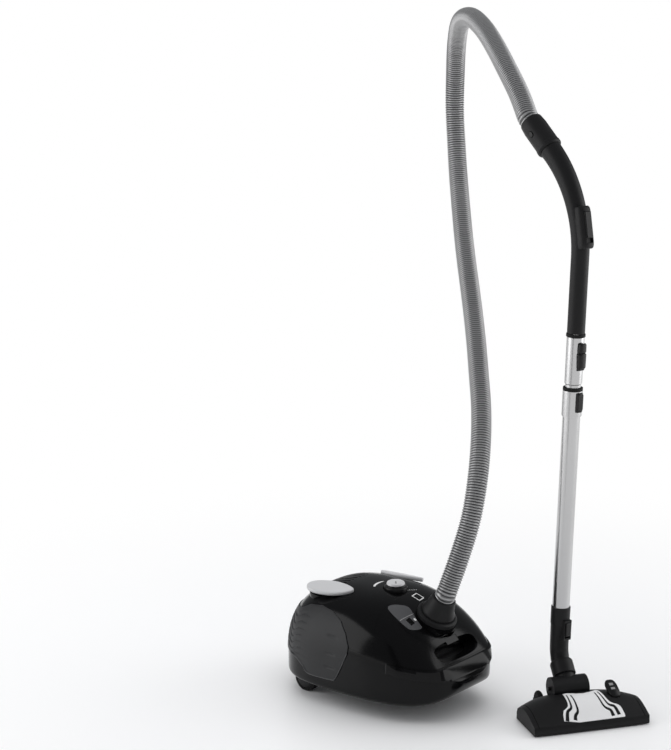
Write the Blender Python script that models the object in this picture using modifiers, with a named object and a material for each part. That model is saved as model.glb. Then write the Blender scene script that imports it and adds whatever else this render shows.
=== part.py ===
"""Canister vacuum cleaner with a bagged dust chamber, a ribbed hose and a telescopic wand.

Metres, +Z up. The canister faces -Y. The origin is on the floor, under the middle of the box around
the canister and the wand. Sizes below are in the canister's own frame, whose origin is on the floor
under the canister's middle; the datum empty carries everything to the part's origin.
"""

import math

import bmesh
import bpy
from mathutils import Matrix, Vector

DATUM = Vector((-0.0406, 0.1454, 0.0))
GAP = 0.0003
WALL = 0.0032

# Canister form: plan and side view are superellipse arcs that meet at the widest and highest stations.
NOSE_Y, TAIL_Y = -0.215, 0.215
HALF_WIDTH = 0.1525
WIDEST_Y, CROWN_Y = 0.022, 0.023
CROWN_Z, END_Z, BELLY_Z = 0.2194, 0.080, 0.030
WIDEST_Z_NOSE, WIDEST_Z_TAIL = 0.108, 0.061
SEAM_Z, SEAM_SLOPE = 0.1375, 0.137
UPPER_POWER, LOWER_POWER = 2.59, 10.3
RING_STEPS, BODY_STEPS = 28, 15

# Lid, inlet and handle recess on the nose
LID_HINGE = Vector((0.0, -0.050, 0.2120))
LID_CUT_TILT = math.radians(22)
INLET = Vector((0.0, -0.125, 0.185))
INLET_AXIS = Vector((0.0, -0.407, 0.9135)).normalized()
BOSS_R, BOSS_DEPTH = 0.0435, 0.030
FLANGE_R, INLET_HOLE_R, COLLAR_BORE_R = 0.041, 0.0292, 0.0255
CUFF_BASE_R, CUFF_TOP_R, CUFF_HEIGHT = 0.0335, 0.0245, 0.038
HANDLE_HALF_WIDTH, HANDLE_HIGH, HANDLE_BACK_Y = 0.073, 0.1560, -0.1420
RECESS_HALF_WIDTH, RECESS_LOW, RECESS_HIGH, RECESS_BACK_Y = 0.064, 0.1140, 0.1440, -0.1480

# Running gear
WHEEL_Y, WHEEL_X, WHEEL_R, WHEEL_WIDTH = 0.118, 0.106, 0.026, 0.026
CASTER_Y, CASTER_WHEEL_R, CASTER_WELL_R = -0.125, 0.016, 0.031

# Controls
KNOB_Y, KNOB_FLOOR_Z, KNOB_BASE_R, KNOB_TOP_R, KNOB_HEIGHT = -0.022, 0.2135, 0.025, 0.016, 0.0205
PEDAL_LENGTH, PEDAL_WIDTH, PEDAL_THICKNESS = 0.098, 0.041, 0.0085
POWER_PEDAL, REWIND_PEDAL = Vector((-0.081, 0.080, 0.2165)), Vector((0.090, 0.032, 0.2080))
POWER_TURN, REWIND_TURN = (math.radians(22), math.radians(-19)), (math.radians(8), math.radians(18))

# Motor and reel axes
MOTOR_X, MOTOR_Z, REEL_X = -0.040, 0.112, 0.062

# Hose
HOSE_R = 0.020
HOSE_SPLIT = 8

# Wand: tube axis from its foot to its top, the way the handle bends, and stations along the axis
TUBE_FOOT = Vector((0.1536, -0.3122, 0.1827))
TUBE_TOP = Vector((0.1625, -0.3242, 0.7517))
BEND_WAY = Vector((0.2131, 0.9765, 0.0))
HANDLE_STRAIGHT, HANDLE_BEND_R, HANDLE_BEND = 0.147, 0.240, math.radians(51)
OUTER_TUBE_R, OUTER_TUBE_BORE, INNER_TUBE_R, INNER_TUBE_BORE = 0.0170, 0.0158, 0.0152, 0.0142
COLLAR_FOOT, COLLAR_TOP, RING_TOP = 0.408, 0.458, 0.464
INNER_TUBE_FOOT, INNER_TUBE_HEAD = 0.060, 0.470
CUFF_LENGTH, CUFF_R = 0.074, 0.024

# Floor head: its own frame has X along the mouth, Y to the rear, and its origin on the floor
HEAD_CENTRE = Vector((0.1110, -0.3980, 0.0))
HEAD_LONG = Vector((0.8316, -0.5554, 0.0))
HEAD_LENGTH, HEAD_DEPTH, HEAD_HEIGHT, HEAD_END_HEIGHT = 0.238, 0.100, 0.050, 0.030
HEAD_FRONT_HEIGHT, HEAD_REAR, SOLE_THICKNESS, SOLE_CLEARANCE = 0.0185, 0.060, 0.0050, 0.0012
HEAD_LOW, SOLE_INSET = 0.0020, 0.0040
BARREL_X, BARREL_BACK, BARREL_Z, BARREL_R, BARREL_LENGTH = -0.009, 0.056, 0.051, 0.0225, 0.074
SWIVEL_LEAN = math.radians(45)
SWIVEL_R, SWIVEL_LENGTH, SPIGOT_R = 0.0230, 0.030, 0.0185
NECK_WHEEL_R, NECK_WHEEL_X, NECK_WHEEL_BACK, NECK_WHEEL_HALF = 0.018, 0.048, 0.086, 0.005
HEAD_PEDAL, HEAD_PEDAL_TILT = Vector((0.0686, 0.0180, 0.0530)), math.radians(26)
HEAD_PEDAL_WIDTH, HEAD_PEDAL_LENGTH, HEAD_PEDAL_THICKNESS = 0.024, 0.044, 0.0070


def clear_scene():
    for obj in list(bpy.data.objects):
        bpy.data.objects.remove(obj)


def collection(name):
    made = bpy.data.collections.new(name)
    bpy.context.scene.collection.children.link(made)
    return made


def material(name, colour, roughness, metallic=0.0):
    made = bpy.data.materials.new(name)
    made.use_nodes = True
    shader = made.node_tree.nodes["Principled BSDF"]
    shader.inputs["Base Color"].default_value = (*colour, 1.0)
    shader.inputs["Roughness"].default_value = roughness
    shader.inputs["Metallic"].default_value = metallic
    return made


clear_scene()
PARTS = collection("canister_vacuum_cleaner")
CUTTERS = collection("cutters")
GLOSS = material("gloss_black", (0.012, 0.012, 0.013), 0.12)
MATTE = material("matte_black", (0.030, 0.030, 0.032), 0.45)
GRILLE = material("grille_grey", (0.055, 0.056, 0.060), 0.50)
SILVER = material("silver_plastic", (0.62, 0.62, 0.63), 0.30, 0.3)
PANEL = material("panel_grey", (0.16, 0.16, 0.17), 0.35)
ALUMINIUM = material("aluminium_tube", (0.78, 0.78, 0.79), 0.25, 1.0)
HOSE_GREY = material("hose_grey", (0.42, 0.42, 0.43), 0.40, 0.2)
RUBBER = material("rubber", (0.02, 0.02, 0.02), 0.80)
PAPER = material("bag_paper", (0.80, 0.77, 0.70), 0.90)
FOAM = material("filter_foam", (0.75, 0.78, 0.80), 0.90)
METAL = material("steel", (0.55, 0.55, 0.56), 0.30, 1.0)
BOARD = material("circuit_board", (0.05, 0.22, 0.10), 0.50)
WINDOW = material("window_tint", (0.02, 0.02, 0.025), 0.08)

datum = bpy.data.objects.new("datum", None)
datum.location = DATUM
PARTS.objects.link(datum)


def pivot(name, position, parent=datum, rotation=None):
    """An empty on a joint's axis. The position is in the canister's frame."""
    empty = bpy.data.objects.new(name, None)
    PARTS.objects.link(empty)
    empty.parent = parent
    turn = rotation.to_4x4() if rotation else Matrix.Identity(4)
    wanted = Matrix.Translation(DATUM + position) @ turn
    bpy.context.view_layer.update()
    empty.matrix_local = parent.matrix_world.inverted() @ wanted
    bpy.context.view_layer.update()
    return empty


def place(name, mesh, finish, parent=datum, at=None):
    """A named part from a mesh. Its matrix in the canister's frame is at, and it hangs on the parent empty."""
    obj = bpy.data.objects.new(name, mesh)
    PARTS.objects.link(obj)
    obj.parent = parent
    wanted = Matrix.Translation(DATUM) @ (at if at else Matrix.Identity(4))
    obj.matrix_local = parent.matrix_world.inverted() @ wanted
    mesh.materials.clear()
    mesh.materials.append(finish)
    mesh.shade_smooth()
    mesh.set_sharp_from_angle(angle=math.radians(35))
    return obj


def helper(name, mesh, at=None):
    """A cutter, in the canister's frame."""
    obj = bpy.data.objects.new(name, mesh)
    CUTTERS.objects.link(obj)
    obj.matrix_world = Matrix.Translation(DATUM) @ (at if at else Matrix.Identity(4))
    obj.hide_render = True
    obj.display_type = "WIRE"
    return obj


def boolean(obj, cutter, operation="DIFFERENCE"):
    modifier = obj.modifiers.new(operation.lower(), "BOOLEAN")
    modifier.operation = operation
    modifier.object = cutter


def bevel(obj, width, segments=2):
    modifier = obj.modifiers.new("edges", "BEVEL")
    modifier.width = width
    modifier.segments = segments
    modifier.limit_method = "ANGLE"
    modifier.angle_limit = math.radians(40)


def mesh_from(build, name):
    mesh = bpy.data.meshes.new(name)
    shape = bmesh.new()
    build(shape)
    bmesh.ops.recalc_face_normals(shape, faces=shape.faces)
    shape.to_mesh(mesh)
    shape.free()
    return mesh


def box_mesh(name, low, high):
    low, high = Vector(low), Vector(high)
    middle = Matrix.Translation((low + high) / 2)
    scale = Matrix.Diagonal((*(high - low), 1.0))
    return mesh_from(lambda shape: bmesh.ops.create_cube(shape, size=1.0, matrix=middle @ scale), name)


def cylinder_mesh(name, radius, low, high, steps=24, top_radius=None):
    """A cylinder or cone about Z."""
    middle = Matrix.Translation((0, 0, (low + high) / 2))
    top = radius if top_radius is None else top_radius

    def build(shape):
        bmesh.ops.create_cone(
            shape, cap_ends=True, segments=steps, radius1=radius, radius2=top, depth=high - low, matrix=middle
        )

    return mesh_from(build, name)


def turned_mesh(name, profile, steps=24):
    """A ring or disc turned about Z from a closed outline of (radius, height) points."""

    def build(shape):
        loop = [shape.verts.new((max(r, 0.0), 0.0, z)) for r, z in profile]
        edges = [shape.edges.new((a, b)) for a, b in zip(loop, loop[1:] + loop[:1])]
        bmesh.ops.spin(
            shape, geom=loop + edges, cent=(0, 0, 0), axis=(0, 0, 1), angle=math.tau, steps=steps, use_merge=True
        )
        bmesh.ops.remove_doubles(shape, verts=shape.verts, dist=1e-6)
        bmesh.ops.dissolve_degenerate(shape, edges=shape.edges, dist=1e-7)

    return mesh_from(build, name)


def loft_mesh(name, rings):
    """A closed body through rings of equal point counts, with flat ends."""

    def build(shape):
        rows = [[shape.verts.new(point) for point in ring] for ring in rings]
        for first, second in zip(rows, rows[1:]):
            for i, corner in enumerate(first):
                j = (i + 1) % len(first)
                shape.faces.new((corner, first[j], second[j], second[i]))
        shape.faces.new(rows[0])
        shape.faces.new(rows[-1][::-1])
        bmesh.ops.triangulate(shape, faces=shape.faces)

    return mesh_from(build, name)


def prism_mesh(name, outline, depth, origin, along):
    """An outline pushed both ways by depth. along is the outline plane's normal axis, 0, 1 or 2."""

    def lift(point, offset):
        values = list(point)
        values.insert(along, offset)
        return Vector(values) + origin

    return loft_mesh(name, [[lift(p, -depth) for p in outline], [lift(p, depth) for p in outline]])


def superellipse(half_x, half_y, power, steps):
    points = []
    for step in range(steps):
        angle = math.tau * step / steps
        c, s = math.cos(angle), math.sin(angle)
        x = half_x * math.copysign(abs(c) ** (2 / power), c)
        points.append((x, half_y * math.copysign(abs(s) ** (2 / power), s)))
    return points


def frame_along(axis, side=Vector((1, 0, 0))):
    """A rotation whose Z is the axis and whose X is as near the side as it can be."""
    z = axis.normalized()
    x = (side - z * side.dot(z)).normalized()
    return Matrix((x, z.cross(x), z)).transposed()


# ---- canister form ----


def arc(distance, length, outer_power, inner_power):
    return max(1 - (distance / length) ** inner_power, 0.0) ** outer_power


def half_width(y):
    if y < WIDEST_Y:
        return HALF_WIDTH * arc(WIDEST_Y - y, WIDEST_Y - NOSE_Y, 0.36, 2.45)
    return HALF_WIDTH * arc(y - WIDEST_Y, TAIL_Y - WIDEST_Y, 0.70, 3.4)


def crown_z(y):
    if y < CROWN_Y:
        return END_Z + (CROWN_Z - END_Z) * arc(CROWN_Y - y, CROWN_Y - NOSE_Y, 1.03, 2.5)
    return END_Z + (CROWN_Z - END_Z) * arc(y - CROWN_Y, TAIL_Y - CROWN_Y, 0.64, 3.1)


def belly_z(y):
    return END_Z - (END_Z - BELLY_Z) * arc(abs(y), TAIL_Y, 0.5, 6.0 if y < 0 else 15.0)


def widest_z(y):
    return WIDEST_Z_NOSE + (WIDEST_Z_TAIL - WIDEST_Z_NOSE) * (y - NOSE_Y) / (TAIL_Y - NOSE_Y)


def form_ring(y, inset):
    """The canister's section at y, pulled in by inset."""
    low, high = belly_z(y) + inset, crown_z(y) - inset
    middle = min(max(widest_z(y), low + 0.002), high - 0.002)
    wide = max(half_width(y) - inset, 0.004)
    ring = []
    for step in range(RING_STEPS):
        angle = math.tau * (step + 0.5) / RING_STEPS
        c, s = math.cos(angle), math.sin(angle)
        power = UPPER_POWER if s > 0 else LOWER_POWER
        reach = high - middle if s > 0 else middle - low
        x = wide * math.copysign(abs(c) ** (2 / power), c)
        ring.append(Vector((x, y, middle + reach * math.copysign(abs(s) ** (2 / power), s))))
    return ring


def form_mesh(name, inset=0.0):
    """The canister's whole form. A negative inset gives a larger one, for skins that lie on it."""
    middle, reach = (NOSE_Y + TAIL_Y) / 2, (TAIL_Y - NOSE_Y) / 2 - 0.0015
    turns = [math.pi * (i / BODY_STEPS - 0.5) for i in range(BODY_STEPS + 1)]
    rings = [form_ring(middle + reach * math.sin(t), inset) for t in turns]
    if inset:
        for ring, y in ((rings[0], NOSE_Y + inset), (rings[-1], TAIL_Y - inset)):
            for point in ring:
                point.y = y
    return loft_mesh(name, rings)


inner_form = helper("inner_form", form_mesh("inner_form", WALL))
skin_inner = helper("skin_inner", form_mesh("skin_inner", -GAP))


def seam_cutter(name, above):
    """Half space above or below the sloping seam, leaving a gap."""
    size = 0.5
    offset = (GAP if above else -GAP) / 2
    low, high = (offset, offset + size) if above else (offset - size, offset)
    tilt = Matrix.Rotation(math.atan(SEAM_SLOPE), 4, "X")
    block = box_mesh(name, (-size, -size, low), (size, size, high))
    return helper(name, block, Matrix.Translation((0, 0, SEAM_Z)) @ tilt)


def lid_cutter(name, ahead):
    """Half space ahead of or behind the lid's rear edge, leaving a gap."""
    size = 0.5
    offset = (GAP if ahead else -GAP) / 2
    low, high = (-size, -offset) if ahead else (-offset, size)
    at = Matrix.Translation(LID_HINGE) @ Matrix.Rotation(-LID_CUT_TILT, 4, "X")
    return helper(name, box_mesh(name, (-size, low, -size), (size, high, size)), at)


above_seam = seam_cutter("above_seam", True)
below_seam = seam_cutter("below_seam", False)
ahead_of_hinge = lid_cutter("ahead_of_hinge", True)
behind_hinge = lid_cutter("behind_hinge", False)


def shell(name, *halves, parent=datum, finish=GLOSS):
    """A piece of the canister's wall, kept where all the halves meet."""
    obj = place(name, form_mesh(name), finish, parent)
    boolean(obj, inner_form)
    for half in halves:
        boolean(obj, half, "INTERSECT")
    return obj


def skin(name, thickness, region, finish, parent=datum):
    """A thin skin that lies on the canister's form inside the region."""
    obj = place(name, form_mesh(name, -GAP - thickness), finish, parent)
    boolean(obj, skin_inner)
    boolean(obj, region, "INTERSECT")
    return obj


# ---- canister casing ----

lid_pivot = pivot("lid_pivot", LID_HINGE)
lower_shell = shell("lower_shell", below_seam, finish=GLOSS)
rear_cover = shell("rear_cover", above_seam, behind_hinge)
lid = shell("lid", above_seam, ahead_of_hinge, parent=lid_pivot)


def make_running_gear():
    for side, sign in (("right", -1), ("left", 1)):
        outwards = frame_along(Vector((sign, 0, 0)), Vector((0, 1, 0))).to_4x4()
        hub = Matrix.Translation((sign * WHEEL_X, WHEEL_Y, WHEEL_R)) @ outwards
        half = WHEEL_WIDTH / 2
        well = cylinder_mesh("wheel_well", WHEEL_R + 0.004, -half - 0.004, half + 0.003, 32)
        boolean(lower_shell, helper(f"wheel_well_{side}", well, hub))
        axis = pivot(f"wheel_pivot_{side}", Vector((sign * WHEEL_X, WHEEL_Y, WHEEL_R)))
        tread = WHEEL_R - 0.006
        tyre = [(tread, -half + 0.002), (WHEEL_R, -half + 0.004), (WHEEL_R, half - 0.004), (tread, half - 0.002)]
        place(f"rear_tyre_{side}", turned_mesh("rear_tyre", tyre, 32), RUBBER, axis, hub)
        rim = tread - GAP
        disc = [(0.0, -half + 0.003), (rim, -half + 0.003), (rim, half - 0.003), (0.015, half - 0.001), (0.0, half)]
        place(f"rear_wheel_{side}", turned_mesh("rear_wheel", disc, 32), MATTE, axis, hub)

    caster = pivot("caster_pivot", Vector((0, CASTER_Y, 0)))
    stand = Matrix.Translation((0, CASTER_Y, 0))
    well = cylinder_mesh("caster_well", CASTER_WELL_R, 0.0, 0.046)
    boolean(lower_shell, helper("caster_well", well, stand))
    plate = cylinder_mesh("fork_plate", CASTER_WELL_R - 0.003, 0.0375, 0.0440)
    fork = place("caster_fork", plate, MATTE, caster, stand)
    for sign in (-1, 1):
        low, high = (sign * 0.0115 - 0.002, -0.009, 0.010), (sign * 0.0115 + 0.002, 0.016, 0.040)
        boolean(fork, helper(f"fork_cheek_{sign + 1}", box_mesh("cheek", low, high), stand), "UNION")
    pin = cylinder_mesh("fork_pin", 0.0022, -0.0120, 0.0120, 12)
    pin_at = Matrix.Translation((0, CASTER_Y + 0.006, CASTER_WHEEL_R)) @ Matrix.Rotation(math.pi / 2, 4, "Y")
    boolean(fork, helper("fork_pin", pin, pin_at), "UNION")
    roll = pivot("caster_wheel_pivot", Vector((0, CASTER_Y + 0.006, CASTER_WHEEL_R)), caster)
    tread = [(0.0026, -0.008), (0.0145, -0.008), (CASTER_WHEEL_R, -0.005)]
    tread += [(CASTER_WHEEL_R, 0.005), (0.0145, 0.008), (0.0026, 0.008)]
    place("caster_wheel", turned_mesh("caster_wheel", tread, 24), RUBBER, roll, pin_at)


def make_nose():
    """Handle recess, latch and bumper, and the inlet the hose plugs into."""
    up = frame_along(INLET_AXIS)
    at = Matrix.Translation(INLET) @ up.to_4x4()
    boss = cylinder_mesh("inlet_boss", BOSS_R, -BOSS_DEPTH, -0.0050, 32)
    boolean(lid, helper("inlet_boss", boss, at), "UNION")
    boolean(lid, helper("inlet_hole", cylinder_mesh("inlet_hole", INLET_HOLE_R, -0.05, 0.05), at))
    seat = cylinder_mesh("flange_seat", FLANGE_R + GAP, -0.0050, 0.05, 32)
    boolean(lid, helper("flange_seat", seat, at))
    wide, back = HANDLE_HALF_WIDTH + GAP, HANDLE_BACK_Y + GAP
    opening = box_mesh("handle_hole", (-wide, -0.26, 0.05), (wide, back, HANDLE_HIGH + GAP))
    boolean(lid, helper("handle_hole", opening))
    around_boss = cylinder_mesh("boss_room", BOSS_R + 0.0006, -BOSS_DEPTH - 0.0005, 0.05, 32)
    boss_room = helper("boss_room", around_boss, at)

    frame = place("handle_frame", form_mesh("handle_frame"), GLOSS, lid_pivot)
    low, high = (-HANDLE_HALF_WIDTH, -0.26, 0.05), (HANDLE_HALF_WIDTH, HANDLE_BACK_Y, HANDLE_HIGH)
    boolean(frame, helper("handle_region", box_mesh("handle_region", low, high)), "INTERSECT")
    boolean(frame, above_seam, "INTERSECT")
    middle, half = (RECESS_LOW + RECESS_HIGH) / 2, (RECESS_HIGH - RECESS_LOW) / 2
    mouth = [(x, z + middle) for x, z in superellipse(RECESS_HALF_WIDTH, half, 5, 24)]
    recess = prism_mesh("handle_recess", mouth, 0.045, Vector((0, RECESS_BACK_Y - 0.045, 0)), 1)
    boolean(frame, helper("handle_recess", recess))
    slot = box_mesh("latch_slot", (-0.0186, -0.2000, 0.1400), (0.0186, -0.1535, 0.1486))
    boolean(frame, helper("latch_slot", slot))
    boolean(frame, boss_room)
    latch_pivot = pivot("latch_pivot", Vector((0, -0.1600, 0.1430)), lid_pivot)
    latch = place("lid_latch", form_mesh("lid_latch", 0.0008), MATTE, latch_pivot)
    region = box_mesh("latch_region", (-0.0180, -0.1760, 0.1385), (0.0180, -0.1545, 0.1480))
    boolean(latch, helper("latch_region", region), "INTERSECT")
    boolean(latch, boss_room)

    along_seam = Matrix.Translation((0, 0, SEAM_Z)) @ Matrix.Rotation(math.atan(SEAM_SLOPE), 4, "X")
    strip = box_mesh("bumper_region", (-0.2, -0.26, -0.0240), (0.2, -0.100, -0.0015))
    skin("bumper", 0.0030, helper("bumper_region", strip, along_seam), GLOSS)

    pipe = INLET_HOLE_R - GAP
    collar = [
        (COLLAR_BORE_R, -0.022),
        (pipe, -0.022),
        (pipe, -0.0045),
        (FLANGE_R, -0.0045),
        (FLANGE_R, 0.0035),
        (FLANGE_R - 0.004, 0.0060),
        (COLLAR_BORE_R, 0.0060),
    ]
    place("inlet_collar", turned_mesh("inlet_collar", collar, 28), MATTE, lid_pivot, at)
    turn = pivot("cuff_pivot", INLET, lid_pivot, up)
    cuff = [
        (0.0175, -0.018),
        (COLLAR_BORE_R - GAP, -0.018),
        (COLLAR_BORE_R - GAP, 0.0063),
        (CUFF_BASE_R, 0.0063),
        (CUFF_BASE_R, 0.0130),
        (CUFF_BASE_R - 0.004, 0.0200),
        (CUFF_TOP_R, 0.0063 + CUFF_HEIGHT - 0.002),
        (CUFF_TOP_R - 0.002, 0.0063 + CUFF_HEIGHT),
        (0.0175, 0.0063 + CUFF_HEIGHT),
    ]
    place("canister_cuff", turned_mesh("canister_cuff", cuff, 24), MATTE, turn, at)


LEAF = [(-0.069, -0.0555), (-0.055, -0.0590), (-0.036, -0.0765), (-0.0345, -0.0860), (-0.0425, -0.1010)]
LEAF += [(-0.0478, -0.1180), (-0.0480, -0.1290), (-0.0746, -0.1205), (-0.0797, -0.1036), (-0.0773, -0.0756)]


def make_top():
    """Controls and panels on the canister's top."""
    region = prism_mesh("leaf_region", LEAF, 0.1, Vector((0, 0, 0.24)), 2)
    boolean(
        skin("indicator_panel", 0.0010, helper("leaf_region", region), PANEL, lid_pivot),
        helper("window_hole", box_mesh("window_hole", (-0.0670, -0.1140, 0.12), (-0.0550, -0.0995, 0.24))),
    )
    pane = box_mesh("window_region", (-0.0667, -0.1137, 0.12), (-0.0553, -0.0998, 0.24))
    glass = helper("window_region", pane)
    skin("indicator_window", 0.0006, glass, WINDOW, lid_pivot)

    seat = cylinder_mesh("knob_seat", KNOB_BASE_R + 0.0006, KNOB_FLOOR_Z - 0.0005, 0.26, 28)
    boolean(rear_cover, helper("knob_seat", seat, Matrix.Translation((0, KNOB_Y, 0))))
    knob = [
        (0.0, 0.0),
        (KNOB_BASE_R, 0.0),
        (KNOB_BASE_R, 0.0065),
        (KNOB_TOP_R + 0.0025, 0.0125),
        (KNOB_TOP_R, KNOB_HEIGHT - 0.001),
        (KNOB_TOP_R - 0.001, KNOB_HEIGHT),
        (0.0, KNOB_HEIGHT),
    ]
    floor = Vector((0, KNOB_Y, KNOB_FLOOR_Z))
    turn = pivot("knob_pivot", floor)
    place("suction_knob", turned_mesh("suction_knob", knob, 28), SILVER, turn, Matrix.Translation(floor))

    half = PEDAL_THICKNESS / 2
    pedals = (("power_pedal", POWER_PEDAL, POWER_TURN), ("rewind_pedal", REWIND_PEDAL, REWIND_TURN))
    for name, centre, (yaw, roll) in pedals:
        at = Matrix.Translation(centre) @ Matrix.Rotation(yaw, 4, "Z") @ Matrix.Rotation(roll, 4, "Y")
        skirt = superellipse(PEDAL_WIDTH / 2 - 0.0030, PEDAL_LENGTH / 2 - 0.0050, 2.6, 28)
        plinth = prism_mesh("plinth", skirt, 0.0061, Vector((0, 0, -0.0161)), 2)
        boolean(rear_cover, helper(f"{name}_plinth", plinth, at), "UNION")
        around = superellipse(PEDAL_WIDTH / 2 + 0.0012, PEDAL_LENGTH / 2 + 0.0012, 2.6, 28)
        room = prism_mesh("pedal_room", around, 0.0145, Vector((0, 0, 0.0045)), 2)
        boolean(rear_cover, helper(f"{name}_room", room, at))
        outline = superellipse(PEDAL_WIDTH / 2, PEDAL_LENGTH / 2, 2.6, 28)
        hinge = pivot(f"{name}_pivot", at @ Vector((0, -PEDAL_LENGTH / 2, 0)))
        pedal = place(name, prism_mesh(name, outline, half, Vector(), 2), SILVER, hinge, at)
        bevel(pedal, 0.0022)


def make_grilles():
    """Side panels over the motor bay, the exhaust grille and the cord's outlet."""
    outline = [(-0.022, 0.1352), (-0.009, 0.1573), (0.013, 0.1761), (0.041, 0.1863), (0.073, 0.1895)]
    outline += [(0.106, 0.1839), (0.130, 0.1709), (0.190, 0.160), (0.190, 0.085), (0.140, 0.082)]
    outline += [(0.113, 0.0785), (0.094, 0.068), (0.077, 0.0562), (0.017, 0.0585), (0.008, 0.0620), (-0.005, 0.0851)]
    outline += [(-0.021, 0.1205)]
    for side, sign in (("right", -1), ("left", 1)):
        region = prism_mesh("side_region", outline, 0.060, Vector((sign * 0.136, 0, 0)), 0)
        skin(f"side_grille_{side}", 0.0020, helper(f"side_region_{side}", region), GRILLE)

    hole = box_mesh("exhaust_hole", (-0.045 - GAP, 0.072 - GAP, 0.10), (0.045 + GAP, 0.130 + GAP, 0.26))
    boolean(rear_cover, helper("exhaust_hole", hole))
    vents = shell(
        "exhaust_grille",
        above_seam,
        helper("exhaust_region", box_mesh("exhaust_region", (-0.045, 0.072, 0.12), (0.045, 0.130, 0.26))),
        finish=MATTE,
    )
    for i in range(7):
        x = (i - 3) * 0.0115
        boolean(vents, helper(f"vent_slit_{i}", box_mesh("slit", (x - 0.002, 0.078, 0.12), (x + 0.002, 0.124, 0.26))))

    outlet_at = Matrix.Translation((0.060, TAIL_Y - 0.040, 0.075)) @ Matrix.Rotation(-math.pi / 2, 4, "X")
    boolean(lower_shell, helper("outlet_hole", cylinder_mesh("outlet_hole", 0.0113, -0.02, 0.05, 24), outlet_at))
    outlet = [(0.0045, 0.000), (0.0110, 0.000), (0.0110, 0.024), (0.0085, 0.027), (0.0045, 0.027)]
    place("cord_outlet", turned_mesh("cord_outlet", outlet, 24), RUBBER, datum, outlet_at)


def make_bag_bay():
    """Dust bag, its holder, and the wall and filter between bag and motor."""
    wall = box_mesh("chamber_wall", (-0.104, -0.012, 0.034), (0.104, -0.008, 0.181))
    chamber_wall = place("chamber_wall", wall, MATTE)
    intake_at = Matrix.Translation((MOTOR_X, -0.010, MOTOR_Z)) @ Matrix.Rotation(-math.pi / 2, 4, "X")
    boolean(chamber_wall, helper("intake_hole", cylinder_mesh("intake_hole", 0.028, -0.02, 0.02, 24), intake_at))
    place("motor_filter", box_mesh("motor_filter", (-0.085, -0.0205, 0.070), (0.005, -0.0125, 0.160)), FOAM)
    rings = []
    for i in range(9):
        t = i / 8
        y = -0.139 + 0.114 * t
        size = max(math.sin(math.pi * min(max(t, 0.06), 0.94)), 0.2) ** 0.45
        shape = superellipse(0.098 * size, 0.056 * size, 3.0, 20)
        rings.append([Vector((x, y, 0.100 + z)) for x, z in shape])
    bag = place("dust_bag", loft_mesh("dust_bag", rings), PAPER)
    at = Matrix.Translation(INLET) @ frame_along(INLET_AXIS).to_4x4()
    boolean(bag, helper("bag_clear", cylinder_mesh("bag_clear", 0.045, -0.050, 0.05, 24), at))
    holder = [(0.0180, -0.0290), (0.0282, -0.0290), (0.0282, -0.0260), (0.0180, -0.0260)]
    place("bag_holder", turned_mesh("bag_holder", holder, 28), PAPER, datum, at)


def make_motor_bay():
    """Motor, fan, seals, exhaust filter, cord reel and control board."""
    at = Matrix.Translation((MOTOR_X, 0.0, MOTOR_Z)) @ Matrix.Rotation(-math.pi / 2, 4, "X")
    can = [
        (0.0250, 0.010),
        (0.0560, 0.010),
        (0.0560, 0.085),
        (0.0440, 0.110),
        (0.0100, 0.110),
        (0.0100, 0.106),
        (0.0420, 0.106),
        (0.0530, 0.083),
        (0.0530, 0.013),
        (0.0250, 0.013),
    ]
    place("motor_housing", turned_mesh("motor_housing", can), MATTE, datum, at)
    seal = [(0.0262, 0.0002), (0.0340, 0.0002), (0.0340, 0.0097), (0.0262, 0.0097)]
    place("motor_seal", turned_mesh("motor_seal", seal), RUBBER, datum, at)
    spin = pivot("fan_pivot", Vector((MOTOR_X, 0.0, MOTOR_Z)), datum, frame_along(Vector((0, 1, 0))))
    fan = [
        (0.0, 0.018),
        (0.0060, 0.018),
        (0.0090, 0.024),
        (0.0480, 0.022),
        (0.0480, 0.030),
        (0.0040, 0.034),
        (0.0040, 0.116),
        (0.0, 0.116),
    ]
    place("motor_fan", turned_mesh("motor_fan", fan), METAL, spin, at)
    stator = [(0.0046, 0.040), (0.0360, 0.040), (0.0380, 0.050), (0.0380, 0.080), (0.0300, 0.098), (0.0046, 0.098)]
    place("motor_stator", turned_mesh("motor_stator", stator), METAL, datum, at)

    reel_at = Matrix.Translation((REEL_X, 0.075, MOTOR_Z)) @ Matrix.Rotation(math.pi / 2, 4, "Y")
    turn = pivot("reel_pivot", Vector((REEL_X, 0.075, MOTOR_Z)))
    flange, drum, half = 0.058, 0.026, 0.024
    reel = [
        (0.0050, -half),
        (flange, -half),
        (flange, -half + 0.003),
        (drum, -half + 0.003),
        (drum, half - 0.003),
        (flange, half - 0.003),
        (flange, half),
        (0.0050, half),
    ]
    place("cord_reel", turned_mesh("cord_reel", reel), MATTE, turn, reel_at)
    place("reel_axle", cylinder_mesh("reel_axle", 0.0045, -half - 0.008, half + 0.008, 16), METAL, datum, reel_at)
    place("exhaust_filter", box_mesh("exhaust_filter", (-0.046, 0.124, 0.1330), (0.032, 0.150, 0.1590)), FOAM)
    place("control_board", box_mesh("control_board", (-0.038, -0.002, 0.1930), (0.044, 0.058, 0.1948)), BOARD)


make_running_gear()
make_nose()
make_top()
make_grilles()
make_bag_bay()
make_motor_bay()

# ---- hose ----

UP = (TUBE_TOP - TUBE_FOOT).normalized()


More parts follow.
